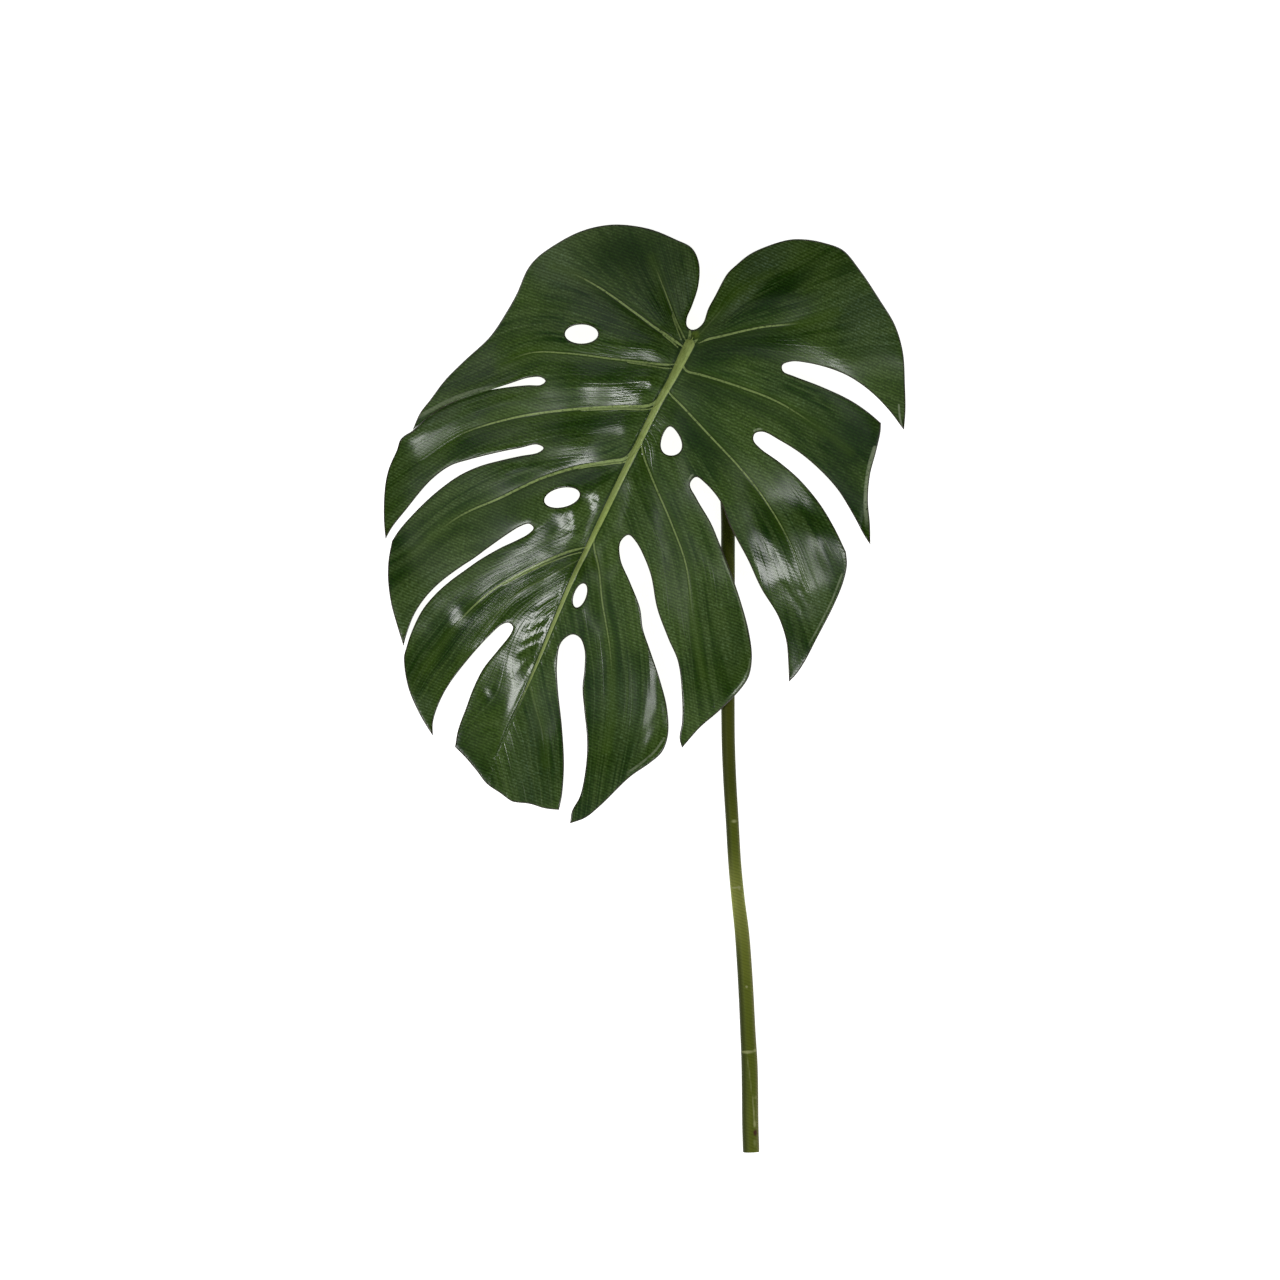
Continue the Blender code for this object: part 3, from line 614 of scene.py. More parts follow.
def nearest(at, line):
    """Each place's distance from a line, in metres, the share of the line's length that it lies
    beside, and 1 or -1 for the side."""
    square = (at ** 2).sum(axis=1)[:, None] + (line ** 2).sum(axis=1) - 2 * at @ line.T
    index = square.argmin(axis=1)
    distance = np.full(len(at), np.inf)
    share = np.zeros(len(at))
    side = np.ones(len(at))
    for start in (np.maximum(index - 1, 0), np.minimum(index, len(line) - 2)):
        way = line[start + 1] - line[start]
        off = at - line[start]
        t = np.clip((off * way).sum(axis=1) / (way ** 2).sum(axis=1), 0, 1)
        gap = off - way * t[:, None]
        length = np.linalg.norm(gap, axis=1) * UNIT
        closer = length < distance
        distance = np.where(closer, length, distance)
        share = np.where(closer, (start + t) / (len(line) - 1), share)
        turn = way[:, 0] * gap[:, 1] - way[:, 1] * gap[:, 0]
        side = np.where(closer, np.where(turn >= 0, 1, -1), side)
    return distance, share, side


def ease(share):
    """A smooth rise from 0 to 1."""
    share = np.clip(share, 0, 1)
    return share * share * (3 - 2 * share)


def swell(distance, reach):
    """A smooth hump: 1 at no distance, and next to nothing at twice its reach."""
    return np.exp(-(distance / reach) ** 2)


def spread(at, x, y, long_reach, short_reach, turn):
    """The square of how far off places lie from a middle: 1 where an oval's reaches, which are
    in millimetres, end."""
    turn = np.radians(turn)
    off = (at - (x, y)) * UNIT * 1000
    along = off @ (np.cos(turn), -np.sin(turn)) / long_reach
    across = off @ (np.sin(turn), np.cos(turn)) / short_reach
    return along ** 2 + across ** 2


def lean(at, x, y, long_reach, short_reach, turn, right, down):
    """Heights that lean the sheet round a place, and hardly reach beyond twice its reach."""
    slope = (at - (x, y)) * UNIT @ np.tan(np.radians((right, down)))
    return -slope * np.exp(-spread(at, x, y, long_reach, short_reach, turn))


def waves(at, size, height):
    """Gentle unevenness of the sheet, about as long as size."""
    scale = UNIT / size
    return np.array([noise.noise((x * scale, y * scale, size * 100)) for x, y in at]) * height


def inside(at, loop):
    """Which places lie inside a closed loop."""
    ends = np.roll(loop, -1, axis=0)
    found = np.zeros(len(at), bool)
    for (x0, y0), (x1, y1) in zip(loop, ends):
        if y0 != y1:
            spans = (y0 > at[:, 1]) != (y1 > at[:, 1])
            found ^= spans & (at[:, 0] < x0 + (at[:, 1] - y0) * (x1 - x0) / (y1 - y0))
    return found


def place(at, height):
    """Drawn places and their heights, as points in metres."""
    nearer = 1 - height / EYE_HEIGHT
    return np.column_stack((
        (EYE[0] - MIDDLE[0] + (at[:, 0] - EYE[0]) * nearer) * UNIT,
        (MIDDLE[1] - EYE[1] - (at[:, 1] - EYE[1]) * nearer) * UNIT,
        height,
    ))


def tree_of(points):
    """A search tree over drawn points."""
    tree = KDTree(len(points))
    for index, (x, y) in enumerate(points):
        tree.insert((x, y, 0), index)
    tree.balance()
    return tree


def gap_to(at, tree):
    """Each place's distance from the nearest point of a tree, in drawing units."""
    return np.array([tree.find((x, y, 0))[2] for x, y in at])


class Rib:
    """A rib: its line, its band or thread on the upper face, and its keel under the blade."""

    def __init__(self, points, band, crown, pale, lost, shaded=1.0,
                 width=RIB_WIDTH, depth=0, sunk=0):
        self.points = points
        self.line = smooth_line(points, CURVE_STEP)
        self.band = np.array(band)
        self.crown = crown
        self.pale = pale
        self.lost = lost
        self.shaded = shaded
        self.width = width
        self.depth = depth
        self.sunk = sunk

    def half_band(self, share):
        """Half the width of the pale band or thread."""
        return np.interp(share, self.band[:, 0], self.band[:, 1]) / 2

    def measure(self, at):
        """What the rib does at each place, by name."""
        distance, share, side = nearest(at, self.line)
        keel_half = self.width / 2 * (1 - KEEL_NARROWING * share)
        keel = np.clip(1 - (distance / keel_half) ** 2, 0, 1)
        across = distance / self.half_band(share)
        round_top = np.sqrt(np.clip(1 - across ** 2, 0, 1))
        fade = ease((self.lost - share) / FADE_LENGTH)
        return {
            "distance": distance,
            "share": share,
            "side": side,
            "depth": self.depth * (1 - KEEL_FLATTENING * share) * keel,
            "sunk": self.sunk * (1 - GROOVE_FADING * share) * swell(distance, RIB_REACH),
            "across": across,
            "pale": self.pale * fade,
            "shade": self.pale * fade * self.shaded,
            "crown": self.crown * round_top * (LOST_CROWN + (1 - LOST_CROWN) * fade),
        }


def gather(found, name):
    """One measure of several ribs, a row for each."""
    return np.array([measures[name] for measures in found])


def make_ribs():
    """The midrib, the lateral ribs, and the threads and painted highlight lines that have no keel.
    """
    midrib = Rib(MIDRIB, MIDRIB_BAND, MIDRIB_CROWN, 1.0, MIDRIB_LOST,
                 width=MIDRIB_WIDTH, depth=MIDRIB_DEPTH, sunk=MIDRIB_SUNK)
    laterals, threads = [], []
    for points, (root, pale, lost, twin) in zip(RIBS, THREADS):
        band = [(0, THREAD_START * root), (THREAD_RISE, root), (1, THREAD_TIP)]
        laterals.append(Rib(points, band, THREAD_CROWN, pale, lost, depth=RIB_DEPTH, sunk=1.0))
        if twin:
            line = smooth_line(points, CURVE_STEP)
            count = TWIN_START + 2 + round(len(line) * twin)
            offset = np.linspace(*TWIN_OFFSETS, count) / UNIT
            line = beside(line[:count], -offset)[TWIN_START:]
            band = [(0, THREAD_TIP), (1, THREAD_TIP)]
            threads.append(Rib(line, band, THREAD_CROWN, pale, TWIN_LOST))
    for points, tip, foot in PRONGS:
        band = [(0, tip), (1, foot)]
        threads.append(Rib(points, band, THREAD_CROWN, PRONG_PALE, PRONG_LOST, PRONG_SHADED))
    # Painted highlights along the rolled margins, as lines with no painted shade beside them
    for points, width, pale in MARGIN_HIGHLIGHT_LINES:
        threads.append(Rib(points, [(0, width), (1, width)], MARGIN_CROWN, pale, 1.0, 0.0))
    return midrib, laterals, threads


def slit_lips(at):
    """What the slits with a higher lip do at each place: the rise, the shift under the upper
    lip in drawing units, and how closed the slit is."""
    rise, shift, closed = np.zeros(len(at)), np.zeros(at.shape), np.zeros(len(at))
    for points, step, overlap in STEPPED_SLITS:
        line = smooth_line(points, LONG_CURVE_STEP)
        distance, share, side = nearest(at, line)
        strength = ease(share / LIP_RISE)
        rise += side * step / 2 * strength * swell(distance, LIP_REACH)
        slip = overlap / UNIT * strength * swell(distance, OVERLAP_REACH)
        across = sideways(line)[np.round(share * (len(line) - 1)).astype(int)]
        shift += across * np.where(side < 0, slip, 0)[:, None]
        closing = ease((share - OPEN_SHARE) / OPEN_SHARE)
        closed += (overlap > 0) * closing * swell(distance, EDGE_ROW * 2)
    return rise, shift, closed


def flow(at, laterals):
    """A count that rises by one from each lateral rib to the next, down either half."""
    halves = []
    for half in (LEFT_RIBS, RIGHT_RIBS):
        knots = []
        for order, index in enumerate(half):
            line = laterals[index].line
            onwards = line[-1] + (line[-1] - line[-FLOW_STEP]) * [[1], [2], [3]]
            knots += [(x, y, order) for x, y in np.vstack((line[FLOW_START::FLOW_STEP], onwards))]
        halves.append(thin_plate(knots)(at))
    side = nearest(at, smooth_line(HALVING_LINE, LONG_CURVE_STEP))[2]
    return np.where(side > 0, *halves)


def sheet(at, ribs, edge_gap):
    """The upper face: where its drawn places lie, their heights, the keels under them, and
    the values by which its surface is coloured."""
    midrib, laterals, threads = ribs
    of_midrib = midrib.measure(at)
    of_laterals = [rib.measure(at) for rib in laterals]
    of_ribs = [of_midrib] + of_laterals
    of_threads = of_laterals + [rib.measure(at) for rib in threads]
    rise, shift, closed = slit_lips(at)
    depth = gather(of_ribs, "depth").max(axis=0)
    sunk = 1 - np.prod(1 - gather(of_ribs, "sunk"), axis=0)

    height = thin_plate(HEIGHTS)(at) / 1000 + RIB_GROOVE * (0.5 - sunk) + rise
    for points, crest, reach in FOLDS:
        distance, share, _ = nearest(at, smooth_line(points, CURVE_STEP))
        ends = ease(share / FOLD_START) * ease((1 - share) / FOLD_END)
        height += crest * ends * swell(distance, reach)
    for pucker in PUCKERS:
        height += lean(at, *pucker)
    along = of_midrib["share"]
    gutter_gap = of_midrib["distance"] - midrib.half_band(along) - GUTTER_REACH
    gutter = (1 - GUTTER_FADING * along) * swell(gutter_gap, GUTTER_REACH)
    height -= gutter * np.where(of_midrib["side"] > 0, *GUTTER_DEPTHS)
    height += of_midrib["crown"] * (1 - CROWN_FADING * along)
    for found in of_laterals:
        height -= THREAD_GROOVE * found["pale"] * swell(found["distance"], THREAD_GROOVE_REACH)
    height += gather(of_threads, "crown").max(axis=0)
    for size, wave in WAVES:
        height += waves(at, size, wave)
    height -= EDGE_DROP * swell(edge_gap, EDGE_REACH)
    lowest = BLADE_THICKNESS + depth
    height = lowest + SETTLING * np.logaddexp(0, (height - lowest) / SETTLING)

    waxed = np.ones(len(at))
    for *oval, dullness in DULL_PATCHES:
        waxed *= 1 - dullness * np.exp(-spread(at, *oval) ** DULL_EDGE)
    # Painted shade where the tones are above 0, and painted sheen where they are below
    deep = sum(amount * np.exp(-spread(at, *oval)) for *oval, amount in SHADE_AND_SHEEN_PATCHES)
    across = gather(of_threads, "across")
    closest = across.argmin(axis=0), np.arange(len(at))
    values = {
        "midrib_across": of_midrib["across"],
        "midrib_share": along,
        "midrib_side": of_midrib["across"] * of_midrib["side"],
        "pocket": swell(np.linalg.norm(at - POCKET, axis=1) * UNIT, POCKET_REACH),
        "thread_across": across.min(axis=0),
        "thread_pale": gather(of_threads, "pale")[closest],
        "thread_shade": gather(of_threads, "shade")[closest],
        "rib_gap": gather(of_ribs, "distance").min(axis=0),
        "edge_gap": edge_gap + closed * EDGE_ROW,
        "flow": flow(at, laterals),
        "outwards": of_midrib["distance"],
        "dull": 1 - waxed,
        "deep": deep,
    }
    for name, (low, high) in VALUE_LIMITS.items():
        values[name] = np.clip(values[name], low, high)
    return at + shift, height, depth, values


def blade_drawing(ribs):
    """The drawn points of the sheet, the lines that its triangles keep to, its edge loops, and
    a search tree over its edge."""
    outline, fine = (
        np.vstack([smooth_line(stretch, step / UNIT)[:-1] for stretch in MARGIN])
        for step in (MARGIN_STEP, EDGE_STEP)
    )
    holes = [ring(hole) for hole in HOLES]
    loops = [outline] + holes
    edge_tree = tree_of(np.vstack([fine] + holes))
    points, lines = [], []

    def add(line, closed=False):
        first, last = len(points), len(points) + len(line) - 1
        points.extend(line)
        lines.extend((i, i + 1) for i in range(first, last))
        if closed:
            lines.append((last, first))

    def add_inner(line, clearance=LINE_CLEARANCE):
        """Adds what of a line lies on the blade, clear of its edges."""
        kept = inside(line, outline) & (gap_to(line, edge_tree) > clearance / UNIT)
        kept &= ~np.any([inside(line, hole) for hole in holes], axis=0)
        starts = np.flatnonzero(kept & ~np.append(False, kept[:-1]))
        ends = np.flatnonzero(kept & ~np.append(kept[1:], False))
        for start, end in zip(starts, ends):
            add(line[start:end + 1])

    for loop in loops:
        add(loop, closed=True)
    midrib, laterals, threads = ribs
    rows = [BAND_ROWS] + [THREAD_ROWS] * len(laterals) + [()] * len(threads)
    for rib, shares in zip([midrib] + laterals + threads, rows):
        line = smooth_line(rib.points, LINE_STEP / UNIT)
        half = rib.half_band(np.linspace(0, 1, len(line))) / UNIT
        add_inner(line)
        for sign in (-1, 1):
            for share in shares:
                add_inner(beside(line, sign * share * half))
            for gap in OUTER_ROWS if rib.depth else ():
                add_inner(beside(line, sign * (half + gap / UNIT)))
    for crest, _, reach in FOLDS:
        if reach < NARROW_FOLD:
            line = smooth_line(crest, FOLD_STEP / UNIT)
            for row in FOLD_ROWS:
                add_inner(beside(line, row * reach / UNIT))
    for loop in loops:
        for sign in (-1, 1):
            line = beside(np.vstack((loop, loop[:1])), sign * EDGE_ROW / UNIT)
            add_inner(line, EDGE_ROW_CLEARANCE)

    step = SHEET_STEP / UNIT
    fixed = tree_of(points)
    low, high = outline.min(axis=0), outline.max(axis=0)
    grid = np.array([
        (x, y)
        for row, y in enumerate(np.arange(low[1], high[1], step * 0.75 ** 0.5))
        for x in np.arange(low[0] + row % 2 * step / 2, high[0], step)
    ])
    grid = grid[inside(grid, outline)]
    points.extend(grid[gap_to(grid, fixed) > GRID_CLEARANCE * step])
    return points, lines, loops, edge_tree


def add_object(name, data):
    """A new object in the scene."""
    made = bpy.data.objects.new(name, data)
    bpy.context.scene.collection.objects.link(made)
    return made


def make_piece(name, points, faces, finish_of_faces, values, finishes):
    """A smooth mesh whose points hold the values that its materials read."""
    mesh = bpy.data.meshes.new(name)
    mesh.from_pydata(points.tolist(), [], faces)
    mesh.shade_smooth()
    mesh.polygons.foreach_set("material_index", finish_of_faces)
    for value_name, numbers in values.items():
        held = mesh.attributes.new(value_name, "FLOAT", "POINT")
        held.data.foreach_set("value", numbers.astype(np.float32))
    for finish in finishes:
        mesh.materials.append(finish)
    return add_object(name, mesh)


def make_blade():
    """The blade: its sheet divided into triangles, shaped, and thickened downwards."""
    ribs = make_ribs()
    points, lines, loops, edge_tree = blade_drawing(ribs)
    flipped = [Vector((x, -y)) for x, y in points]
    found, _, faces, _, _, _ = delaunay_2d_cdt(flipped, lines, [], 1, SAME_POINT)
    at = np.array([(v.x, -v.y) for v in found])
    faces = np.array(faces)
    centres = at[faces].mean(axis=1)
    hollow = np.any([inside(centres, hole) for hole in loops[1:]], axis=0)
    used, faces = np.unique(faces[~hollow], return_inverse=True)
    faces = faces.reshape(-1, 3)
    at = at[used]
    moved, height, depth, values = sheet(at, ribs, gap_to(at, edge_tree) * UNIT)

    count = len(at)
    top = place(moved, height)
    under = top.copy()
    under[:, 2] -= BLADE_THICKNESS + depth
    sides = np.vstack((faces[:, [0, 1]], faces[:, [1, 2]], faces[:, [2, 0]]))
    shared = np.isin(sides @ (count, 1), sides @ (1, count))
    rim = [(b, a, a + count, b + count) for a, b in sides[~shared].tolist()]
    return make_piece(
        "leaf_blade",
        np.vstack((top, under)),
        faces.tolist() + (faces[:, ::-1] + count).tolist() + rim,
        np.repeat((0, 1, 2), (len(faces), len(faces), len(rim))),
        {name: np.tile(numbers, 2) for name, numbers in values.items()},
        (upper_face(), under_face(), cut_edge()),
    )


def make_petiole():
    """The stem: a round tapering rod with shallow flutes, scars and a cut foot."""
    stem = smooth_line(STEM, STEM_STEP / UNIT)
    radius = stem[:, 3] / 2
    route = place(stem[:, :2], stem[:, 2] + radius)
    along = np.append(0, np.cumsum(np.linalg.norm(np.diff(route, axis=0), axis=1)))
    forward = np.gradient(route, axis=0)
    forward /= np.linalg.norm(forward, axis=1)[:, None]
    right = np.cross(forward, (0, 0, 1))
    right /= np.linalg.norm(right, axis=1)[:, None]
    up = np.cross(right, forward)

    turn = np.linspace(0, 2 * np.pi, STEM_SIDES, endpoint=False)
    across, over = np.cos(turn), np.sin(turn)
    mark = np.zeros((len(stem), STEM_SIDES))
    for y, place_across, length, width, pale in STEM_MARKS:
        middle = np.interp(-y, -stem[:, 1], along)
        gap_along = (along - middle)[:, None] / length
        gap_across = (across - place_across)[None, :] * radius[:, None] / width
        mark += pale * np.exp(-gap_along ** 2 - gap_across ** 2) * (over > 0)
    knuckle = swell(along - along[-1] + KNUCKLE_LENGTH / 2, KNUCKLE_LENGTH / 2)
    reach = (radius * (1 + KNUCKLE_SWELL * knuckle))[:, None]
    reach = reach - FLUTE_DEPTH * (0.5 + 0.5 * np.cos(FLUTES * turn))
    reach = (reach + MARK_HEIGHT * np.maximum(mark, 0))[:, :, None]
    outwards = right[:, None, :] * across[:, None] + up[:, None, :] * over[:, None]
    points = route[:, None, :] + outwards * reach
    points[:, :, 2] = np.maximum(points[:, :, 2], 0)

    dome = forward[-1] * radius[-1] / 2
    rings = np.array(
        [points[0] * k + route[0] * (1 - k) for k in CUT_RINGS]
        + list(points)
        + [points[-1] * k + (route[-1] + dome) * (1 - k) for k in CUT_RINGS[::-1]]
    )
    near = np.arange(rings.shape[0] * STEM_SIDES).reshape(rings.shape[:2])
    next_side = np.roll(near, -1, axis=1)
    sides = np.stack((near[:-1], near[1:], next_side[1:], next_side[:-1]), axis=2).reshape(-1, 4)
    caps = len(CUT_RINGS)
    cut_sides = caps * STEM_SIDES
    return make_piece(
        "leaf_petiole",
        rings.reshape(-1, 3),
        sides.tolist() + [near[0].tolist(), near[-1, ::-1].tolist()],
        np.append(np.arange(len(sides)) < cut_sides, (1, 0)),
        {
            "mark": np.pad(mark, ((caps, caps), (0, 0))).ravel(),
            "across": np.tile(across, len(rings)),
            "over": np.tile(over, len(rings)),
            "along": np.repeat(np.pad(along, caps, mode="edge"), STEM_SIDES),
        },
        (stem_skin(), stem_cut()),
    )


def add_node(tree, kind, inputs, output=0, **settings):
    """What a new node gives. An input is a plain value, what another node gives, or the name
    of a value that the mesh holds at its points."""
    made = tree.nodes.new("ShaderNode" + kind)
    for name, value in settings.items():
        setattr(made, name, value)
    for name, value in inputs.items():
        feed(tree, made.inputs[name], value)
    return made.outputs[output]


def feed(tree, socket, value):
    """Gives a socket its input."""
    if isinstance(value, str):
        value = add_node(tree, "Attribute", {}, "Fac", attribute_name=value)
    if isinstance(value, bpy.types.NodeSocket):
        tree.links.new(value, socket)
    else:
        socket.default_value = value


class Finish:
    """A material and short calls for the nodes that make it up."""

    def __init__(self, name, **settings):
        self.material = bpy.data.materials.new(name)
        self.material.use_nodes = True
        self.tree = self.material.node_tree
        self.surface = self.tree.nodes["Principled BSDF"]
        for socket, value in settings.items():
            self.surface.inputs[socket.replace("_", " ")].default_value = value
        self.position = self.node("TexCoord", {}, "Object")
        self.colour = None
        self.relief = None

    def node(self, kind, inputs, output=0, **settings):
        return add_node(self.tree, kind, inputs, output, **settings)

    def maths(self, operation, *parts):
        return self.node("Math", dict(enumerate(parts)), operation=operation)

    def times(self, a, b):
        return self.maths("MULTIPLY", a, b)

    def between(self, value, low, high, top=1.0):
        """A smooth rise from 0 at low to top at high, which may be the smaller."""
        inputs = {"Value": value, "From Min": low, "From Max": high, "To Max": top}
        return self.node("MapRange", inputs, "Result", interpolation_type="SMOOTHSTEP")

    def mix(self, share, a, b, blend="MIX"):
        return self.node("Mix", {0: share, 6: a, 7: b}, 2, data_type="RGBA", blend_type=blend)

    def paint(self, share, colour, blend="MIX"):
        """Lays a colour over what is there already."""
        self.colour = self.mix(share, self.colour, colour, blend)

    def noise(self, scale, detail=2.0, at=None, roughness=0.5):
        at = at or self.position
        inputs = {"Vector": at, "Scale": scale, "Detail": detail, "Roughness": roughness}
        return self.node("TexNoise", inputs, "Fac")

    def bump(self, height, distance):
        """Adds relief as high as distance to what is there already."""
        inputs = {"Height": height, "Distance": distance, "Strength": 1.0}
        if self.relief:
            inputs["Normal"] = self.relief
        self.relief = self.node("Bump", inputs, "Normal")

    def done(self, roughness):
        feed(self.tree, self.surface.inputs["Base Color"], self.colour)
        feed(self.tree, self.surface.inputs["Roughness"], roughness)
        if self.relief:
            feed(self.tree, self.surface.inputs["Normal"], self.relief)
        return self.material


def along_veins(made, across, along, detail=2.0):
    """Noise drawn out along the way in which the ribs run, with so many grains from one rib to
    the next and so many to the metre from the midrib outwards."""
    run = {0: made.times("flow", across), 1: made.times("outwards", along)}
    return made.noise(1.0, detail, made.node("CombineXYZ", run), 0.6)


def fine_veins(made, across):
    """Fine veins that run with the ribs towards the margin, from 0 to 1."""
    lines = made.maths("ABSOLUTE", made.maths("SUBTRACT", along_veins(made, across, 14), 0.5))
    return made.between(lines, 0.085, 0.0)


def hatching(made):
    """Close slanting lines over the whole face, from 0 to 1."""
    turned = made.node("Mapping", {"Vector": made.position, "Rotation": (0, 0, HATCH_TURN)})
    inputs = {
        "Vector": turned, "Scale": np.pi / 10 / HATCH_SPACING, "Distortion": 2.2, "Detail": 2.0,
        "Detail Scale": 1.5,
    }
    return made.node("TexWave", inputs, "Fac", bands_direction="Y")


def upper_face():
    """Glossy dark green, with pale ribs, fine veins and a thin brown edge."""
    made = Finish("leaf_upper_face", Specular_IOR_Level=0.36)
    veins = fine_veins(made, 9.0)
    grain = along_veins(made, 28.0, 20)
    hatch = hatching(made)
    speckle = made.noise(800, 3.0, roughness=0.6)

    # The mottled green, its veins, its painted shade and painted sheen, the hatching and the
    # speckles
    broad = made.maths("ADD", made.noise(26, 3.0), made.times(along_veins(made, 4.0, 26), 0.6))
    made.colour = made.mix(made.between(broad, 0.57, 1.00), DARK_GREEN, MID_GREEN)
    made.paint(made.times(veins, 0.36), VEIN_GREEN)
    made.paint(made.between(grain, 0.4, 0.7, 0.20), VEIN_GREEN)
    # Painted shade where the tones are above 0, painted sheen where they are below
    made.paint(made.between("deep", 0.0, 1.0, 0.85), DARK_GREEN)
    made.paint(made.between("deep", 0.0, -1.0, 0.55), PAINTED_SHEEN_GREEN)
    made.paint(made.between(hatch, 0.3, 0.9, 0.48), HATCH_LIGHT, "MULTIPLY")
    made.paint(made.between(hatch, 0.5, 0.1, 0.48), HATCH_DARK, "MULTIPLY")
    made.paint(made.between(speckle, 0.50, 0.70, 0.80), HATCH_LIGHT, "MULTIPLY")
    made.paint(made.between(speckle, 0.50, 0.32, 0.75), HATCH_DARK, "MULTIPLY")

    # The yellower green near the ribs, the olive pocket, and painted shade beside the threads and
    # in the gutters beside the midrib's band
    made.paint(made.between("rib_gap", 0.005, 0.0, 0.35), RIB_GREEN)
    made.paint(made.between("pocket", 0.2, 0.8), POCKET_OLIVE)
    beside_thread = made.between("thread_across", 3.2, 1.3, 0.6)
    made.paint(made.times(beside_thread, "thread_shade"), SHADED_GREEN)
    left = made.between("midrib_side", 0.4, 1.0)
    either = made.maths("MAXIMUM", left, made.between("midrib_side", -0.4, -1.0, 0.8))
    gutter = made.between("midrib_across", 2.0, 1.3, 0.60)
    made.paint(made.times(gutter, either), DARK_GREEN)

    # The pale threads, the painted highlights along the rolled margins, the midrib's fibrous band
    # with painted shade down its left side and painted light down its right, and the brown edge
    thread = made.times(made.between("thread_across", 1.15, 0.55), "thread_pale")
    broken = made.between(made.noise(700, 2.0), 0.15, 0.55)
    # Margin lines take the painted highlight colour, the ribs' threads their own pale
    pale = made.mix(made.between("thread_shade", 0.0, 0.05), MARGIN_HIGHLIGHT_GREEN, PALE_RIB)
    made.paint(made.times(thread, broken), pale)
    run = {0: made.times("midrib_side", 3.0), 1: made.times("flow", 2.0)}
    fibres = made.noise(1.0, 3.0, made.node("CombineXYZ", run))
    # Painted shade down the band's left side and painted light down its right, over its fibres
    band_fibres_and_side_light = made.maths("SUBTRACT", fibres, made.times("midrib_side", 0.35))
    pale_band = made.mix(made.between(band_fibres_and_side_light, 0.2, 0.9), DULL_BAND, PALE_BAND)
    pale_band = made.mix(made.between(speckle, 0.62, 0.36, 0.45), pale_band, DULL_BAND)
    not_tip = made.between("midrib_share", 0.92, 0.74)
    band = made.times(made.between("midrib_across", 1.04, 0.86), not_tip)
    made.paint(band, pale_band)
    made.paint(made.between("edge_gap", 0.0010, 0.0003, 0.9), EDGE_BROWN)

    made.bump(veins, 0.00004)
    made.bump(grain, 0.00005)
    made.bump(hatch, 0.000012)
    made.bump(made.noise(420, 3.0), 0.000020)
    made.bump(made.noise(1500, 2.0), 0.000012)
    gloss = made.maths("ADD", made.noise(70, 3.0), along_veins(made, 6.0, 24))
    rough = made.maths("MULTIPLY_ADD", gloss, 0.15, GLOSSIEST)
    rough = made.maths("ADD", rough, made.times("dull", DULLEST))
    return made.done(made.maths("MAXIMUM", rough, made.times(band, BAND_ROUGHNESS)))


def under_face():
    """Duller and paler green, with the net of veins standing out."""
    made = Finish("leaf_under_face")
    veins = fine_veins(made, 8.0)
    made.colour = made.mix(made.between(made.noise(22, 3.0), 0.3, 0.7), UNDER_GREEN, UNDER_PALE)
    made.paint(made.times(veins, 0.6), UNDER_VEIN)
    made.paint(made.between("rib_gap", 0.0026, 0.0012), UNDER_RIB)
    made.bump(veins, 0.0002)
    made.bump(made.noise(600, 3.0), 0.00005)
    return made.done(made.maths("MULTIPLY_ADD", made.noise(90, 3.0), 0.15, 0.48))


def cut_edge():
    """The thin edge of the blade, browned."""
    made = Finish("leaf_edge")
    made.colour = made.mix(made.noise(160, 3.0), EDGE_BROWN, EDGE_PALE)
    made.bump(made.noise(900, 3.0), 0.00005)
    return made.done(made.maths("MULTIPLY_ADD", made.noise(200, 2.0), 0.2, 0.5))


def stem_skin():
    """Olive green, darker down its left side, with a reddish line down its right one."""
    made = Finish("stem_skin", Specular_IOR_Level=0.06)
    run = {0: made.times("across", 5.0), 1: made.times("over", 5.0), 2: made.times("along", 14.0)}
    fibres = made.noise(1.0, 4.0, made.node("CombineXYZ", run), 0.6)
    off_sunlit = made.maths("ABSOLUTE", made.maths("SUBTRACT", "along", SUNLIT_PLACE))
    made.colour = made.mix(fibres, STEM_GREEN, STEM_OLIVE)
    made.paint(made.between(made.noise(18, 3.0), 0.4, 0.7, 0.5), STEM_BRIGHT)
    made.paint(made.between("across", -0.05, -0.85, 0.90), STEM_SHADE)
    # A painted sheen down the stem's right side
    made.paint(made.between("across", 0.55, 0.85, 0.55), STEM_SHEEN_GREY)
    made.paint(made.between("across", 0.9, 0.99, 0.9), STEM_RED)
    made.paint(made.between(off_sunlit, SUNLIT_REACH, 0.0, 0.85), STEM_SUNLIT)
    made.paint(made.between("along", *DARKENING, 0.72), STEM_DARK)
    made.paint(made.between(hatching(made), 0.5, 0.1, 0.25), STEM_SHADE)
    made.paint(made.between("mark", 0.12, 0.75), STEM_SCAR)
    made.paint(made.between("mark", -0.12, -0.7), STEM_RED)
    made.bump(fibres, 0.00012)
    made.bump(made.noise(1100, 3.0), 0.00003)
    return made.done(made.maths("MULTIPLY_ADD", made.noise(120, 3.0), 0.18, 0.34))


def stem_cut():
    """The cut foot: pale wet tissue with darker brown bundles."""
    made = Finish("stem_cut")
    cells = made.node("TexVoronoi", {"Vector": made.position, "Scale": 1400}, "Distance")
    bundles = made.between(cells, 0.35, 0.15)
    made.colour = made.mix(made.noise(260, 3.0), CUT_PALE, CUT_GREEN)
    made.paint(made.times(bundles, 0.7), CUT_BROWN)
    made.bump(made.times(bundles, -1.0), 0.0002)
    return made.done(made.maths("MULTIPLY_ADD", made.noise(300, 2.0), 0.2, 0.45))


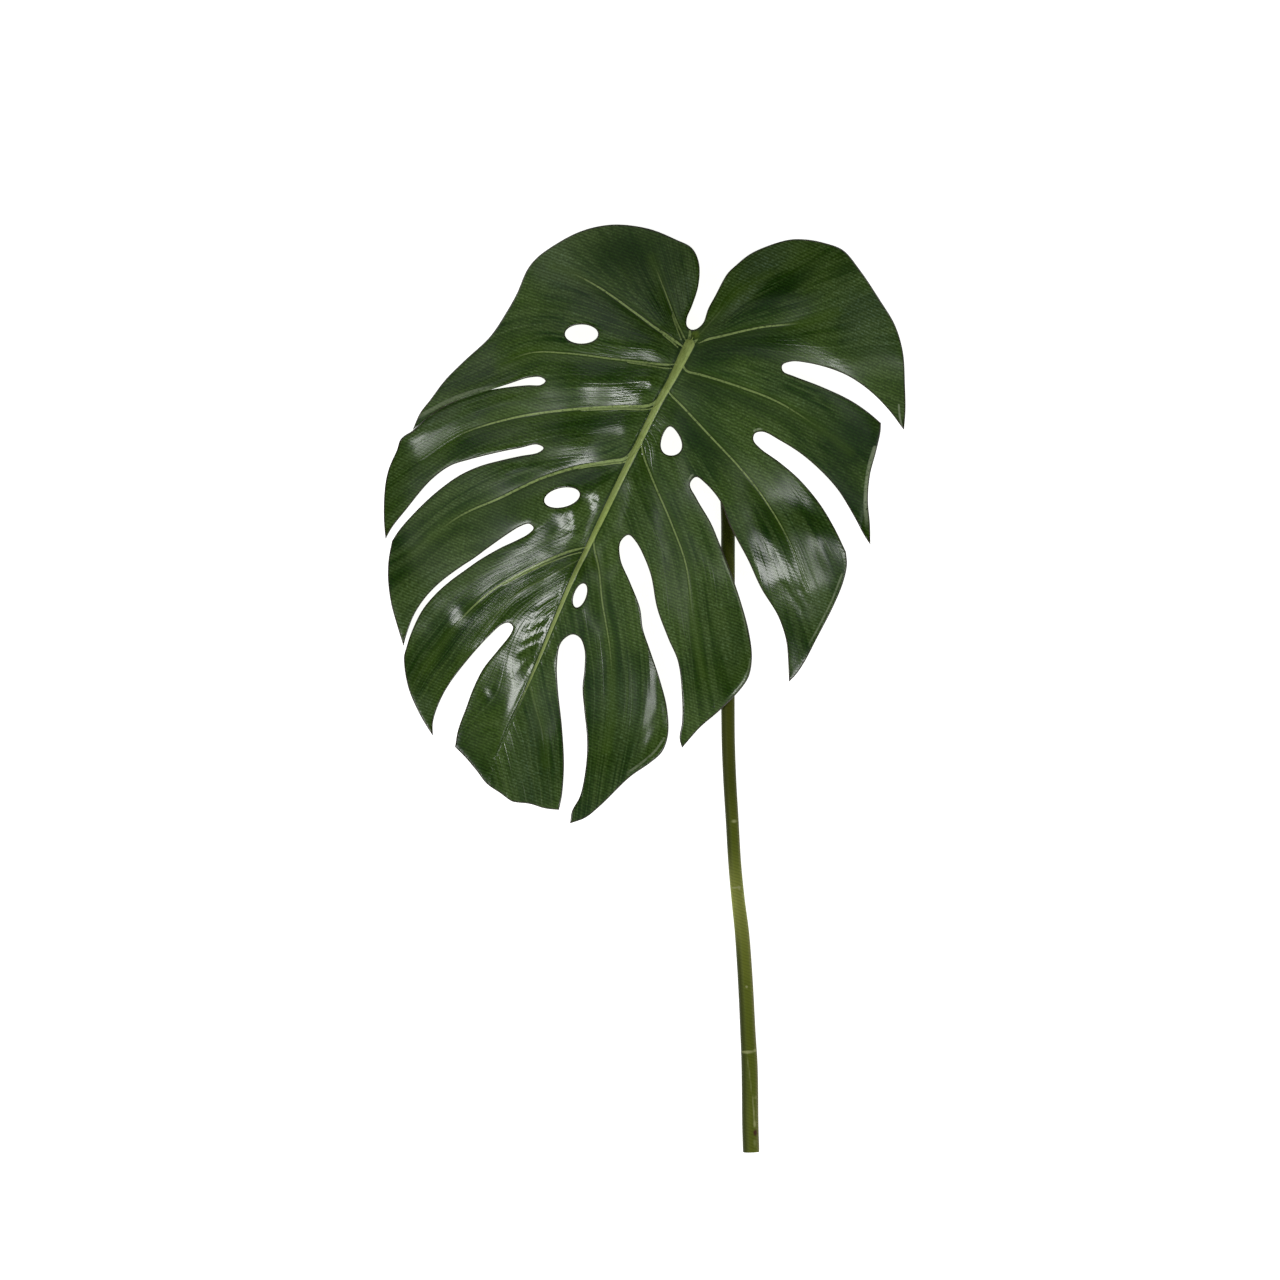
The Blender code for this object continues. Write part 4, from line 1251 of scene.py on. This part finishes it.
def make_floor():
    """A plain pale table top."""
    bpy.ops.mesh.primitive_plane_add(size=FLOOR_SIZE, location=(0, 0, -FLOOR_DROP))
    floor = bpy.context.object
    floor.name = "table_top"
    made = Finish("table_white", Emission_Color=(1, 1, 1, 1), Emission_Strength=FLOOR_GLOW)
    made.colour = made.mix(made.noise(3, 2.0), FLOOR_WHITE, FLOOR_GREY)
    floor.data.materials.append(made.done(0.9))


def make_light(name, zenith, azimuth, width, height, power):
    """A soft box that shines on the leaf from a direction, in degrees from straight up and
    anticlockwise from the right of the picture."""
    data = bpy.data.lights.new(name, "AREA")
    data.shape = "RECTANGLE"
    data.size = width
    data.size_y = height
    data.energy = power
    light = add_object(name, data)
    zenith, azimuth = np.radians((zenith, azimuth))
    level = np.sin(zenith)
    towards = Vector((level * np.cos(azimuth), level * np.sin(azimuth), np.cos(zenith)))
    light.location = towards * LIGHT_DISTANCE
    light.rotation_euler = towards.to_track_quat("Z", "Y").to_euler()


def make_surroundings():
    """Soft light all round, dim overhead and brighter towards the horizon."""
    world = bpy.data.worlds.new("studio")
    bpy.context.scene.world = world
    world.use_nodes = True
    tree = world.node_tree
    direction = add_node(tree, "TexCoord", {}, "Generated")
    split = add_node(tree, "SeparateXYZ", {0: direction}).node

    def glow(axis, dark, bright, radiance):
        inputs = {
            "Value": split.outputs[axis], "From Min": dark, "From Max": bright,
            "To Min": OVERHEAD / 2, "To Max": radiance,
        }
        return add_node(tree, "MapRange", inputs, "Result", interpolation_type="SMOOTHSTEP")

    both = {0: glow("Z", 0.55, 0.0, HORIZON), 1: glow("Y", 0.0, -0.9, FRONT)}
    feed(tree, tree.nodes["Background"].inputs["Color"], add_node(tree, "Math", both))


def make_camera():
    """Looks straight down from the height that the drawing is taken from."""
    data = bpy.data.cameras.new("camera")
    data.sensor_width = SENSOR
    data.lens = SENSOR * EYE_HEIGHT / (PICTURE_SIDE * UNIT)
    data.clip_end = 100
    camera = add_object("camera", data)
    camera.location = ((EYE[0] - MIDDLE[0]) * UNIT, (MIDDLE[1] - EYE[1]) * UNIT, EYE_HEIGHT)
    bpy.context.scene.camera = camera


def main():
    blade = make_blade()
    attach(blade, "root")
    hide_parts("blade")
    petiole = make_petiole()
    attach(petiole, "root")
    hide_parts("petiole")
    make_floor()
    for light in LIGHTS:
        make_light(*light)
    make_surroundings()
    make_camera()
    bpy.context.scene.view_settings.view_transform = "Standard"


main()
